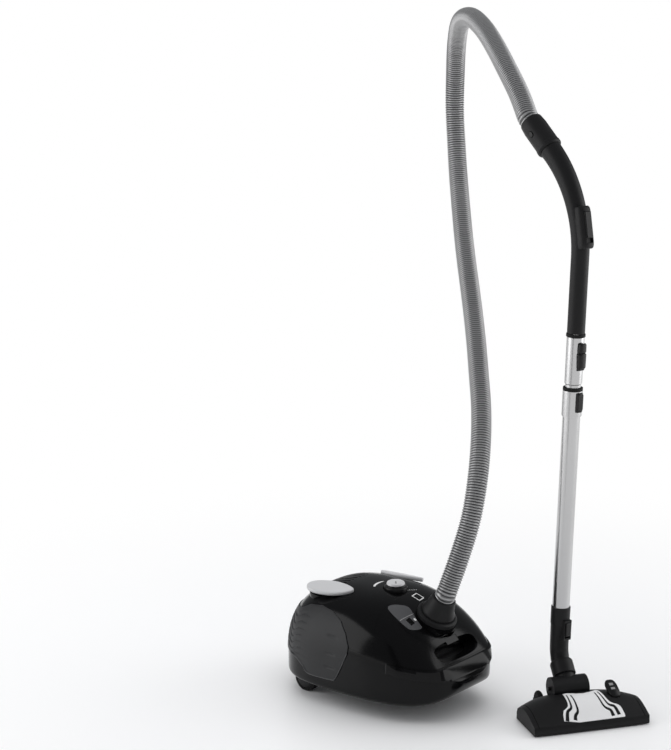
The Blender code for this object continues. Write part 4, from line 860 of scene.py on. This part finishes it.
def make_exhaust_grille():
    front, rear = GRILLE_FRONT + SLIT_MARGIN, GRILLE_REAR - SLIT_MARGIN
    low, high = (-GRILLE_HALF_WIDTH, GRILLE_FRONT, 0.12), (GRILLE_HALF_WIDTH, GRILLE_REAR, SKY)
    cuts, keeps = [INNER], [box_cutter(low, high)]
    for i in range(SLITS):
        x = (i - SLITS // 2) * SLIT_PITCH
        cuts.append(box_cutter((x - SLIT_HALF_WIDTH, front, 0.12), (x + SLIT_HALF_WIDTH, rear, SKY)))
    grille = form_mesh("vents")
    piece("exhaust_grille_fine", grille, SATIN, "canister", "exhaust_grille", cuts=cuts, keeps=keeps)


# ---- indicator panel and prints ----

LEAF = [(-0.0705, -0.0545), (-0.055, -0.0590), (-0.036, -0.0765), (-0.0345, -0.0860), (-0.0425, -0.1010)]
LEAF += [(-0.0478, -0.1180), (-0.0480, -0.1290), (-0.0746, -0.1205), (-0.0797, -0.1036), (-0.0773, -0.0756)]
PANE_LOW, PANE_HIGH = Vector((-0.0670, -0.1140)), Vector((-0.0550, -0.0995))
PANEL_OUT, GLASS_OUT, LINE_OUT = GAP + 0.0010, GAP + 0.0005, 0.0014
PRINT_OUT, PRINT_THICKNESS = 0.0001, 0.0002
SIGN_MIDDLE, SIGN_HALF, SIGN_TURN, SIGN_LINE = (0.0127, -0.0680), 0.0085, math.radians(8), 0.0020
DASHES, DASH_START, DASH_STEP = 9, (-0.0060, -0.0335), (0.0046, -0.0018)
DASH_LENGTH, DASH_WIDTH = (0.0028, -0.0011), 0.0018


def ribbon(name, points, width, out, look, body, thickness=0.0004, over=top_point, at=None):
    """A thin line that follows points (x, y) over a surface. over gives the surface's point at x and y."""
    rows = []
    for i, (x, y) in enumerate(points):
        ax, ay = points[max(i - 1, 0)]
        bx, by = points[min(i + 1, len(points) - 1)]
        length = math.hypot(bx - ax, by - ay)
        nx, ny = (ay - by) / length, (bx - ax) / length
        wide = width(i / (len(points) - 1)) if callable(width) else width
        row = []
        for lift, shares in ((out, (-0.5, 0.0, 0.5)), (out + thickness, (0.5, 0.0, -0.5))):
            row += [over(x + nx * wide * share, y + ny * wide * share, lift) for share in shares]
        rows.append(row)
    piece(name, loft_mesh(name, rows), look, body, at=at)


def straight(start, reach, steps):
    """Points (x, y) along a straight line."""
    return [(start[0] + reach[0] * i / steps, start[1] + reach[1] * i / steps) for i in range(steps + 1)]


def blob_width(t):
    return 0.0048 * math.sin(math.pi * (0.15 + 0.7 * t))


def make_lid_panel():
    """The grey leaf with its bag-full window, and a light line across it."""
    inside = helper(form_mesh("skin", -GAP))
    region = prism_cutter(rounded(LEAF), 0.1, (0, 0, 0.24), 2)
    hole = box_cutter((*PANE_LOW, 0.12), (*PANE_HIGH, 0.24))
    panel, glass = form_mesh("panel", -PANEL_OUT), form_mesh("pane", -GLASS_OUT)
    piece("indicator_panel_fine", panel, PANEL, "lid", "indicator_panel", cuts=[inside, hole], keeps=[region])
    rim = Vector((GAP, GAP))
    pane = box_cutter((*(PANE_LOW + rim), 0.12), (*(PANE_HIGH - rim), 0.24))
    piece("indicator_window_fine", glass, WINDOW, "lid", "indicator_window", cuts=[inside], keeps=[pane])
    line = straight((-0.0775, -0.0935), (0.0365, -0.0045), 12)
    ribbon("indicator_line", line, 0.0007, LINE_OUT, LIGHT_EDGE, "lid")
    blob = straight((-0.0500, -0.1055), (0.0016, -0.0055), 6)
    ribbon("indicator_sign", blob, blob_width, LINE_OUT, WHITE, "lid")


def make_prints():
    """A plain square sign and a row of dashes, printed on the lid and the cover."""
    corners, c, s = [], SIGN_HALF * math.cos(SIGN_TURN), SIGN_HALF * math.sin(SIGN_TURN)
    for x, y in ((-1, -1), (1, -1), (1, 1), (-1, 1), (-1, -1)):
        corners.append((SIGN_MIDDLE[0] + x * c - y * s, SIGN_MIDDLE[1] + x * s + y * c))
    for i, ((ax, ay), (bx, by)) in enumerate(zip(corners, corners[1:])):
        side = straight((ax, ay), (bx - ax, by - ay), 8)
        ribbon(f"sign_side_{i + 1}", side, SIGN_LINE, PRINT_OUT, WHITE, "lid", PRINT_THICKNESS)
    for i in range(DASHES):
        start = (DASH_START[0] + DASH_STEP[0] * i, DASH_START[1] + DASH_STEP[1] * i)
        dash = straight(start, DASH_LENGTH, 2)
        ribbon(f"dash_{i + 1}", dash, DASH_WIDTH, PRINT_OUT, LIGHT_EDGE, "canister", PRINT_THICKNESS)


# ---- side grilles, bumper, knob and pedals ----

# The side grille's upper and lower edge, as (y, z)
SIDE_TOP = [(-0.022, 0.1352), (-0.009, 0.1573), (0.013, 0.1761), (0.041, 0.1863), (0.073, 0.1895)]
SIDE_TOP += [(0.106, 0.1839), (0.130, 0.1709), (0.160, 0.1645), (0.190, 0.160)]
SIDE_FOOT = [(-0.022, 0.1340), (-0.0205, 0.1205), (-0.005, 0.0851), (0.008, 0.0620), (0.017, 0.0585)]
SIDE_FOOT += [(0.077, 0.0562), (0.094, 0.068), (0.113, 0.0785), (0.140, 0.082), (0.190, 0.085)]
SIDE_FRONT, SIDE_REACH, SIDE_OUT, SIDE_THICKNESS = -0.0217, 0.2100, 0.0017, 0.0014
ACROSS_STEPS, UP_STEPS = 110, 120
LOUVRE_PITCH, LOUVRE_DEPTH, LOUVRE_SHARE = 0.0125, 0.0015, 0.55
SLOT_HEIGHTS, SLOT_Y, SLOT_DEPTH = (0.146, 0.113, 0.085), 0.021, 0.0014
LIP_R, LIP_RISE = 0.0011, 0.0022


def height_at(line, y):
    for (ay, az), (by, bz) in zip(line, line[1:]):
        if y <= by:
            return az + (bz - az) * (y - ay) / (by - ay)
    return line[-1][1]


def side_relief(y, z, edge):
    """How far the panel stands out: wavy louvres at the rear, and three faint slots in front."""
    rear = min(max((y - 0.078) / 0.05, 0.0), 1.0)
    dip = 0.012 * math.exp(-(((y - 0.138) / 0.016) ** 2))
    wave = ((z - 0.066 + dip) / LOUVRE_PITCH) % 1.0
    inside = min(max((edge - 0.006) / 0.006, 0.0), 1.0)
    louvre = LOUVRE_DEPTH * rear * max(1 - wave / LOUVRE_SHARE, 0.0) ** 0.7
    along = math.exp(-(((y - SLOT_Y) / 0.012) ** 4))
    slots = SLOT_DEPTH * along * sum(math.exp(-(((z - at) / 0.0028) ** 4)) for at in SLOT_HEIGHTS)
    return SIDE_OUT - (louvre + slots) * inside


def make_side_grilles():
    """Matt side panels, smooth in front and louvred at the rear, with a raised lip along the foot."""
    for side, sign in (("right", -1), ("left", 1)):
        rows = []
        for i in range(ACROSS_STEPS + 1):
            y = SIDE_FRONT + SIDE_REACH * i / ACROSS_STEPS
            low, high = height_at(SIDE_FOOT, y), height_at(SIDE_TOP, y)
            row = []
            for j in range(UP_STEPS + 1):
                t = j / UP_STEPS
                z = low + (high - low) * t
                row.append(side_point(y, z, sign, side_relief(y, z, min(t, 1 - t) * (high - low))))
            rows.append(row)
        node = f"side_grille_{side}"
        sheet = loft_mesh(node, rows, closed=False)
        backed(piece(f"{node}_fine", sheet, GRILLE, "canister", node, angle=60.0), SIDE_THICKNESS)
        line = smooth([side_point(y, z + LIP_RISE, sign, 0.0014) for y, z in SIDE_FOOT[1:]], 8)
        piece(f"side_lip_{side}", swept_mesh("side_lip", line, [LIP_R] * len(line), 14), LIP, "canister")


# The bumper's section: how far below the seam, and how far out
BUMPER = [(0.0018, 0.0004), (0.0022, 0.0020), (0.0042, 0.0029)]
BUMPER += [(0.0190, 0.0029), (0.0222, 0.0020), (0.0230, 0.0004)]
BUMPER_STEPS, BUMPER_SPREAD, BUMPER_THICKNESS = 110, math.radians(136.0), 0.0006


def make_bumper():
    """The strip around the nose, which fades into the casing at its ends."""
    rows = []
    for i in range(BUMPER_STEPS + 1):
        share = i / BUMPER_STEPS
        fade = min((1 - abs(2 * share - 1)) * 9.0, 1.0)
        angle = BUMPER_SPREAD * (share - 0.5)
        rows.append([nose_point(angle, drop, out * fade + GAP) for drop, out in BUMPER])
    sheet = loft_mesh("bumper", rows, closed=False)
    backed(piece("bumper_fine", sheet, GLOSS, "canister", "bumper"), BUMPER_THICKNESS)


# The knob's outlines, as (radius, height)
KNOB_FOOT = [(0.0, 0.0), (0.0232, 0.0), (0.0237, 0.0010), (0.0237, 0.0075)]
KNOB_FOOT += [(0.0228, 0.0088), (0.0190, 0.0102), (0.0184, 0.0125), (0.0, 0.0125)]
KNOB_CAP = [(0.0, 0.0128), (0.0180, 0.0128), (0.0184, 0.0140), (0.0172, 0.0170)]
KNOB_CAP += [(0.0150, 0.0184), (0.0120, 0.0188), (0.0, 0.0186)]
MARK_TURN, WEDGE_R, WEDGE_START, WEDGE_SPREAD = math.radians(-50), 0.0430, 72, 50


def wedge_width(t):
    return 0.0012 + 0.0110 * t * (1.2 - t)


def make_knob():
    """The suction knob with its mark, and the printed wedge round it."""
    at = Matrix.Translation(KNOB)
    piece("suction_knob_base", turned_mesh("knob", KNOB_FOOT), SATIN, "knob", "suction_knob", at)
    piece("suction_knob_cap", turned_mesh("cap", KNOB_CAP), SILVER, "knob", at=at)
    mark = bevelled(box_mesh("mark", (-0.0010, -0.0140, 0.0186), (0.0010, -0.0020, 0.0192)), 0.0002, 1)
    piece("suction_knob_mark", mark, SATIN, "knob", at=at @ Matrix.Rotation(MARK_TURN, 4, "Z"))
    wedge = []
    for i in range(25):
        angle = math.radians(WEDGE_START + WEDGE_SPREAD * i / 24)
        wedge.append((KNOB.x + WEDGE_R * math.cos(angle), KNOB.y + WEDGE_R * math.sin(angle)))
    ribbon("suction_wedge", wedge, wedge_width, PRINT_OUT, WHITE, "canister", PRINT_THICKNESS)


def make_pedals():
    half = PEDAL_THICKNESS / 2
    levels = [(-half, 0.90), (-half + 0.0016, 0.975), (half - 0.0036, 1.0), (half - 0.0014, 0.985)]
    levels += [(half - 0.0004, 0.94), (half - 0.0001, 0.80), (half, 0.50), (half, 0.20)]
    for name, at in (("power_pedal", POWER_FRAME), ("rewind_pedal", REWIND_FRAME)):
        pad = pad_mesh(name, levels, pedal_outline, PEDAL_WIDTH / 2, PEDAL_LENGTH / 2)
        piece(f"{name}_fine", pad, SILVER, name, name, at, angle=50.0)


make_lower_shell()
make_rear_cover()
make_lid()
make_exhaust_grille()
make_lid_panel()
make_side_grilles()
make_bumper()
make_knob()
make_pedals()
make_prints()
refined("inlet_collar", MATTE, "lid")
refined("canister_cuff", MATTE, "hose_cuff")
refined("cord_outlet", RUBBER, "canister")

# ---- floor head ----

HEAD_FRAME = Matrix.Translation(HEAD_CENTRE) @ frame_along(Vector((0, 0, 1)), HEAD_LONG).to_4x4()
HUMP_END, CREST_SHARE = 0.004, 0.62
BAY_FRONT, BAY_ROOM = 0.0325, 0.0012
HEAD_HOLLOW = (-0.104, -0.038, -0.01), (0.104, 0.0290, 0.0160)
PEDAL_AT = HEAD_FRAME @ Matrix.Translation(HEAD_PEDAL) @ Matrix.Rotation(HEAD_PEDAL_TILT, 4, "X")
PEDAL_WELL = (0.0614, 0.0140, 0.0240), (0.0758, 0.0300, 0.09)
STEM = (0.0626, 0.0164, 0.0320), (0.0746, 0.0276, 0.0540)
ARM_HALF, ARM_FRONT, ARM_LOW, ARM_HIGH = 0.0025, 0.0340, 0.0130, 0.0220
END_JOINT_X, END_JOINT_FRONT, END_JOINT_REACH = 0.1095, -0.0485, 0.0960
TRIM = [(-0.0315, 0.0315), (-0.0345, 0.0100), (-0.0357, -0.0120), (-0.0420, -0.0180), (-0.0520, -0.0230)]
TRIM += [(-0.0577, -0.0473), (0.0662, -0.0465), (0.0697, -0.0447), (0.0683, -0.0260), (0.0640, -0.0207)]
TRIM += [(0.0506, -0.0160), (0.0456, -0.0073), (0.0428, 0.0107), (0.0414, 0.0320), (0.0250, 0.0215)]
TRIM += [(0.0, 0.0150)]

# Each stripe's line over the plate, from the rear to the front
LEFT_OUTER = [(-0.0287, 0.0167), (-0.0300, 0.0020), (-0.0312, -0.0130)]
LEFT_OUTER += [(-0.0340, -0.0200), (-0.0430, -0.0260), (-0.0500, -0.0427)]
LEFT_INNER = [(-0.0210, 0.0140), (-0.0205, 0.0000), (-0.0208, -0.0150)]
LEFT_INNER += [(-0.0225, -0.0270), (-0.0300, -0.0345), (-0.0336, -0.0427)]
RIGHT_INNER = [(0.0290, 0.0147), (0.0300, 0.0000), (0.0325, -0.0190)]
RIGHT_INNER += [(0.0371, -0.0267), (0.0440, -0.0315), (0.0455, -0.0427)]
RIGHT_OUTER = [(0.0365, 0.0180), (0.0385, 0.0000), (0.0421, -0.0153)]
RIGHT_OUTER += [(0.0465, -0.0210), (0.0550, -0.0253), (0.0580, -0.0413)]
STRIPES = {"left_outer": LEFT_OUTER, "left_inner": LEFT_INNER}
STRIPES |= {"right_inner": RIGHT_INNER, "right_outer": RIGHT_OUTER}


def head_reach(x):
    """How far out x is, the hump's crest there, and its front and rear."""
    reach = abs(x) / (HEAD_LENGTH / 2 + 0.012)
    high = HEAD_END_HEIGHT + (HEAD_HEIGHT - HEAD_END_HEIGHT) * max(1 - reach**2.4, 0.0)
    shrink = 0.040 * max(reach - 0.55, 0.0) ** 1.5
    return reach, high, -HEAD_DEPTH / 2 + 0.2 * shrink, HEAD_REAR - 1.6 * shrink


def head_point(x, y, lift):
    """The point of the hump at x and y, raised by lift."""
    reach, high, front, rear = head_reach(x)
    t = min(max((y - front) / (rear - front - HUMP_END), 0.0), 1.0)
    rise = math.sin(min(t / CREST_SHARE, 1.0) * math.pi / 2) ** 1.15
    fall = 1.0 - (0.28 + 0.45 * reach**3) * max((t - CREST_SHARE) / (1 - CREST_SHARE), 0.0) ** 2
    return Vector((x, y, HEAD_FRONT_HEIGHT + (high - HEAD_FRONT_HEIGHT) * rise * fall + lift))


def head_section(x, lift, steps=44):
    _, _, front, rear = head_reach(x)
    points = [Vector((x, front + 0.001, HEAD_LOW)), Vector((x, front, HEAD_LOW + 0.004))]
    points.append(Vector((x, front + 0.001, HEAD_FRONT_HEIGHT - 0.0006)))
    for i in range(1, steps + 1):
        points.append(head_point(x, front + (rear - front - HUMP_END) * i / steps, lift))
    return [*points, Vector((x, rear, HEAD_FRONT_HEIGHT - 0.004)), Vector((x, rear, HEAD_LOW))]


def head_form(name, lift=0.0, count=61):
    half = HEAD_LENGTH / 2
    stations = [half * math.sin(math.pi / 2 * (2 * i / (count - 1) - 1)) for i in range(count)]
    return loft_mesh(name, [head_section(x, lift) for x in stations])


def make_head_cover():
    """The cover, hollow below, with a bay for the neck, a seat for the sole and room for its pedal."""
    wide = BARREL_LENGTH / 2 + BAY_ROOM
    bay = box_cutter((BARREL_X - wide, BAY_FRONT, -0.01), (BARREL_X + wide, 0.09, 0.09), HEAD_FRAME)
    hollow = box_cutter(*HEAD_HOLLOW, HEAD_FRAME)
    half, front = HEAD_LENGTH / 2 - SOLE_INSET, -HEAD_DEPTH / 2 + SOLE_INSET
    rear = HEAD_REAR - SOLE_INSET - 0.001
    outline = [(-half, -0.034), (-half + 0.012, front), (half - 0.012, front), (half, -0.034)]
    outline += [(half, 0.022), (half - 0.036, rear), (-half + 0.036, rear), (-half, 0.022)]
    seat = [(x * (1 + GAP / half), y * (1 + GAP / half)) for x, y in outline]
    top = SOLE_CLEARANCE + SOLE_THICKNESS + GAP
    pocket = prism_cutter(seat, 0.0100, (0, 0, top - 0.0100), 2, HEAD_FRAME)
    around = superellipse(HEAD_PEDAL_WIDTH / 2 + 0.0010, HEAD_PEDAL_LENGTH / 2 + 0.0010, 3.0, 64)
    room = prism_cutter(around, 0.0200, (0, 0, 0.0200 - HEAD_PEDAL_THICKNESS / 2 - 0.0012), 2, PEDAL_AT)
    cuts = [bay, hollow, pocket, room, box_cutter(*PEDAL_WELL, HEAD_FRAME)]
    piece("head_cover_fine", head_form("cover"), MATTE, "head", "head_cover", HEAD_FRAME, cuts, angle=40.0)
    for side, sign in (("right", -1), ("left", 1)):
        x = BARREL_X + sign * (NECK_WHEEL_X + NECK_WHEEL_HALF + 0.0030)
        low, high = (x - ARM_HALF, ARM_FRONT, ARM_LOW), (x + ARM_HALF, NECK_WHEEL_BACK + 0.006, ARM_HIGH)
        arm = bevelled(box_mesh("arm", low, high), 0.0012)
        piece(f"wheel_arm_{side}", arm, MATTE, "head", at=HEAD_FRAME)
        end = straight((sign * END_JOINT_X, END_JOINT_FRONT), (0.0, END_JOINT_REACH), 40)
        ribbon(f"end_joint_{side}", end, 0.0009, 0.00002, SHADOW, "head", 0.00012, head_point, HEAD_FRAME)


def stripe_width(t):
    return 0.0023 + 0.0048 * t**1.5


def make_head_trim():
    """The light plate over the hump, with four dark stripes."""
    region = prism_cutter(rounded(TRIM, 1), 0.05, (0, 0, 0.068), 2, HEAD_FRAME)
    under = helper(head_form("under", GAP), HEAD_FRAME)
    plate = head_form("trim", 0.0013)
    piece("head_trim_fine", plate, PLATE, "head", "head_trim", HEAD_FRAME, [under], [region])
    for name, line in STRIPES.items():
        spread = [(point.x, point.y) for point in smooth([Vector((*point, 0)) for point in line], 8)]
        ribbon(f"stripe_{name}", spread, stripe_width, 0.0012, SATIN, "head", 0.00035, head_point, HEAD_FRAME)


def make_head_pedal():
    wide, long, thick = HEAD_PEDAL_WIDTH / 2, HEAD_PEDAL_LENGTH / 2, HEAD_PEDAL_THICKNESS / 2
    levels = ((-thick, 0.90), (-thick + 0.0012, 0.98), (0.0, 1.0), (thick - 0.0012, 0.985), (thick, 0.90))
    pad = pad_mesh("pedal", levels, lambda x, y: superellipse(x, y, 3.0, 64), wide, long)
    piece("head_pedal_fine", pad, SATIN, "head_pedal", "head_pedal", PEDAL_AT, angle=50.0)
    piece("head_pedal_stem", bevelled(box_mesh("stem", *STEM), 0.0010), SATIN, "head_pedal", at=HEAD_FRAME)
    for name, y, tall in (("bare_floor", 0.0090, 0.0032), ("carpet", -0.0020, 0.0028)):
        block = box_mesh(name, (-0.0042, y - tall, thick - 0.0004), (0.0042, y + tall, thick + 0.0003))
        piece(f"pedal_icon_{name}", bevelled(block, 0.0002, 1), ICON, "head_pedal", at=PEDAL_AT)


make_head_cover()
make_head_trim()
make_head_pedal()

# ---- wand and handle details ----

CORNER, SADDLE_STEPS, SADDLE_ACROSS = 0.0035, 20, 14
GRIP_R, GRIP_SPREAD = 0.0172, 0.0038
HOUSING_LENGTH, HOUSING_HALF_X, HOUSING_HALF_Y = 0.0405, 0.0148, 0.0158
SLIDER_SLOT = (0.0205, -0.0085, -0.0300), (0.04, 0.0085, 0.0300)
BUTTON_ALONG, BUTTON_FACES, BUTTON_HALF_DEPTH = 0.041, Vector((-1.10, 0.28, 0.15)), 0.0015


def saddle(name, body, span, halves, inner, outer):
    """A rounded button that wraps round the wand, from span[0] to span[1] along it."""
    rings = []
    for i in range(SADDLE_STEPS + 1):
        share = 0.5 - 0.5 * math.cos(math.pi * i / SADDLE_STEPS)
        z = span[0] + (span[1] - span[0]) * share
        near = min(min(z - span[0], span[1] - z) / CORNER, 1.0)
        round_off = math.sqrt(1 - (1 - near) ** 2)
        half = halves[0] + (halves[1] - halves[0]) * share - CORNER * (1 - round_off)
        depth = (outer - inner) * (0.35 + 0.65 * round_off)
        across = [2 * j / SADDLE_ACROSS - 1 for j in range(SADDLE_ACROSS + 1)]
        over = [(u, inner + 0.0004 + depth * (1 - abs(u) ** 4) ** 0.25) for u in across]
        under = [(u, inner) for u in reversed(across)]
        rings.append([Vector((math.sqrt(r * r - (u * half) ** 2), u * half, z)) for u, r in over + under])
    piece(name, loft_mesh(name, rings), SATIN, body, at=WAND_FRAME)


def make_grip():
    """The curved grip, with a rounded housing and a slot for its air slider."""
    path = handle_path(40)[0]
    radii = [GRIP_R + GRIP_SPREAD * (i / (len(path) - 1)) ** 1.5 for i in range(len(path))]
    slider_at = frame_along(HANDLE_POINTS[6] - HANDLE_POINTS[4], -BEND_SIDE).to_4x4()
    slider_at.translation = HANDLE_POINTS[5]
    rings, steps = [], 32
    for i in range(steps + 1):
        along = -math.cos(math.pi * i / steps)
        share = 0.5 + 0.5 * (1 - abs(along) ** 7) ** (1 / 3)
        outline = superellipse(HOUSING_HALF_X, HOUSING_HALF_Y * (0.5 + 0.5 * share), 2.6, 48)
        rings.append([Vector((0.008 + (x + 0.003) * share, y, HOUSING_LENGTH * along)) for x, y in outline])
    housing = helper(loft_mesh("housing", rings), slider_at)
    whole = joined(swept_mesh("grip", path, radii), [], [], [housing])
    piece("grip_fine", whole, MATTE, "handle", "grip", cuts=[box_cutter(*SLIDER_SLOT, slider_at)])


def make_buttons():
    saddle("tube_lock_upper", "tube_lock", (0.5335, 0.5525), (0.0100, 0.0088), 0.0204, 0.0238)
    saddle("tube_lock_lower", "tube_lock", (0.5030, 0.5330), (0.0096, 0.0108), 0.0204, 0.0240)
    saddle("telescope_thumb", "telescope_slide", (0.4175, 0.4560), (0.0085, 0.0085), 0.0198, 0.0226)
    facing = (BUTTON_FACES - CUFF_AXIS * BUTTON_FACES.dot(CUFF_AXIS)).normalized()
    at = Matrix.Translation(HANDLE_END + CUFF_AXIS * BUTTON_ALONG) @ frame_along(facing, CUFF_AXIS).to_4x4()
    for name, look, wide, top in (("_edge", SHADOW, 0.0068, 0.0243), ("", SATIN, 0.0056, 0.0249)):
        oval, middle = superellipse(wide, wide * 0.72, 2.0, 40), Vector((0, 0, top - BUTTON_HALF_DEPTH))
        block = prism_mesh("button", oval, BUTTON_HALF_DEPTH, middle, 2)
        piece(f"cuff_button{name}", bevelled(block, 0.0003, 1), look, "handle_cuff", at=at)


make_grip()
make_buttons()

# ---- nodes carried over in their own shape, by body ----

CARRIED = (
    ("caster", {"caster_fork": MATTE}),
    ("caster_wheel", {"caster_wheel": RUBBER}),
    ("wheel_left", {"rear_wheel_left": SATIN, "rear_tyre_left": RUBBER}),
    ("wheel_right", {"rear_wheel_right": SATIN, "rear_tyre_right": RUBBER}),
    ("handle", {"grip_ring": RUBBER, "inner_tube": TUBE}),
    ("handle_cuff", {"handle_cuff": MATTE}),
    ("air_slider", {"air_slider": SATIN}),
    ("tube_lock", {"tube_lock": SATIN}),
    ("lower_wand", {"outer_tube": TUBE, "telescope_collar": TUBE, "telescope_ring": RUBBER}),
    ("lower_wand", {"elbow": MATTE, "swivel_collar": MATTE}),
    ("telescope_slide", {"telescope_slide": SATIN}),
    ("elbow_lock", {"elbow_lock": SATIN}),
    ("neck", {"neck": MATTE}),
    ("head", {"sole_plate": SOLE, "neck_axle": SATIN}),
    ("neck_wheels", {"neck_wheel_left": RUBBER, "neck_wheel_right": RUBBER}),
    ("brushes", {"brush_strip_front": BRISTLE, "brush_strip_rear": BRISTLE}),
    ("canister", {"chamber_wall": MATTE, "motor_filter": FELT, "dust_bag": PAPER, "bag_holder": MATTE}),
    ("canister", {"motor_housing": MATTE, "motor_seal": RUBBER, "motor_stator": STEEL}),
    ("fan", {"motor_fan": STEEL}),
    ("reel", {"cord_reel": MATTE}),
    ("canister", {"reel_axle": STEEL, "exhaust_filter": FELT, "control_board": BOARD}),
)
SOFT_EDGES = {"air_slider": 0.0014, "elbow_lock": 0.0014}

for body, looks in CARRIED:
    for node, look in looks.items():
        refined(node, look, body, SOFT_EDGES.get(node, SHARP_EDGE))

for cutter in CUTTERS:
    bpy.data.objects.remove(cutter)
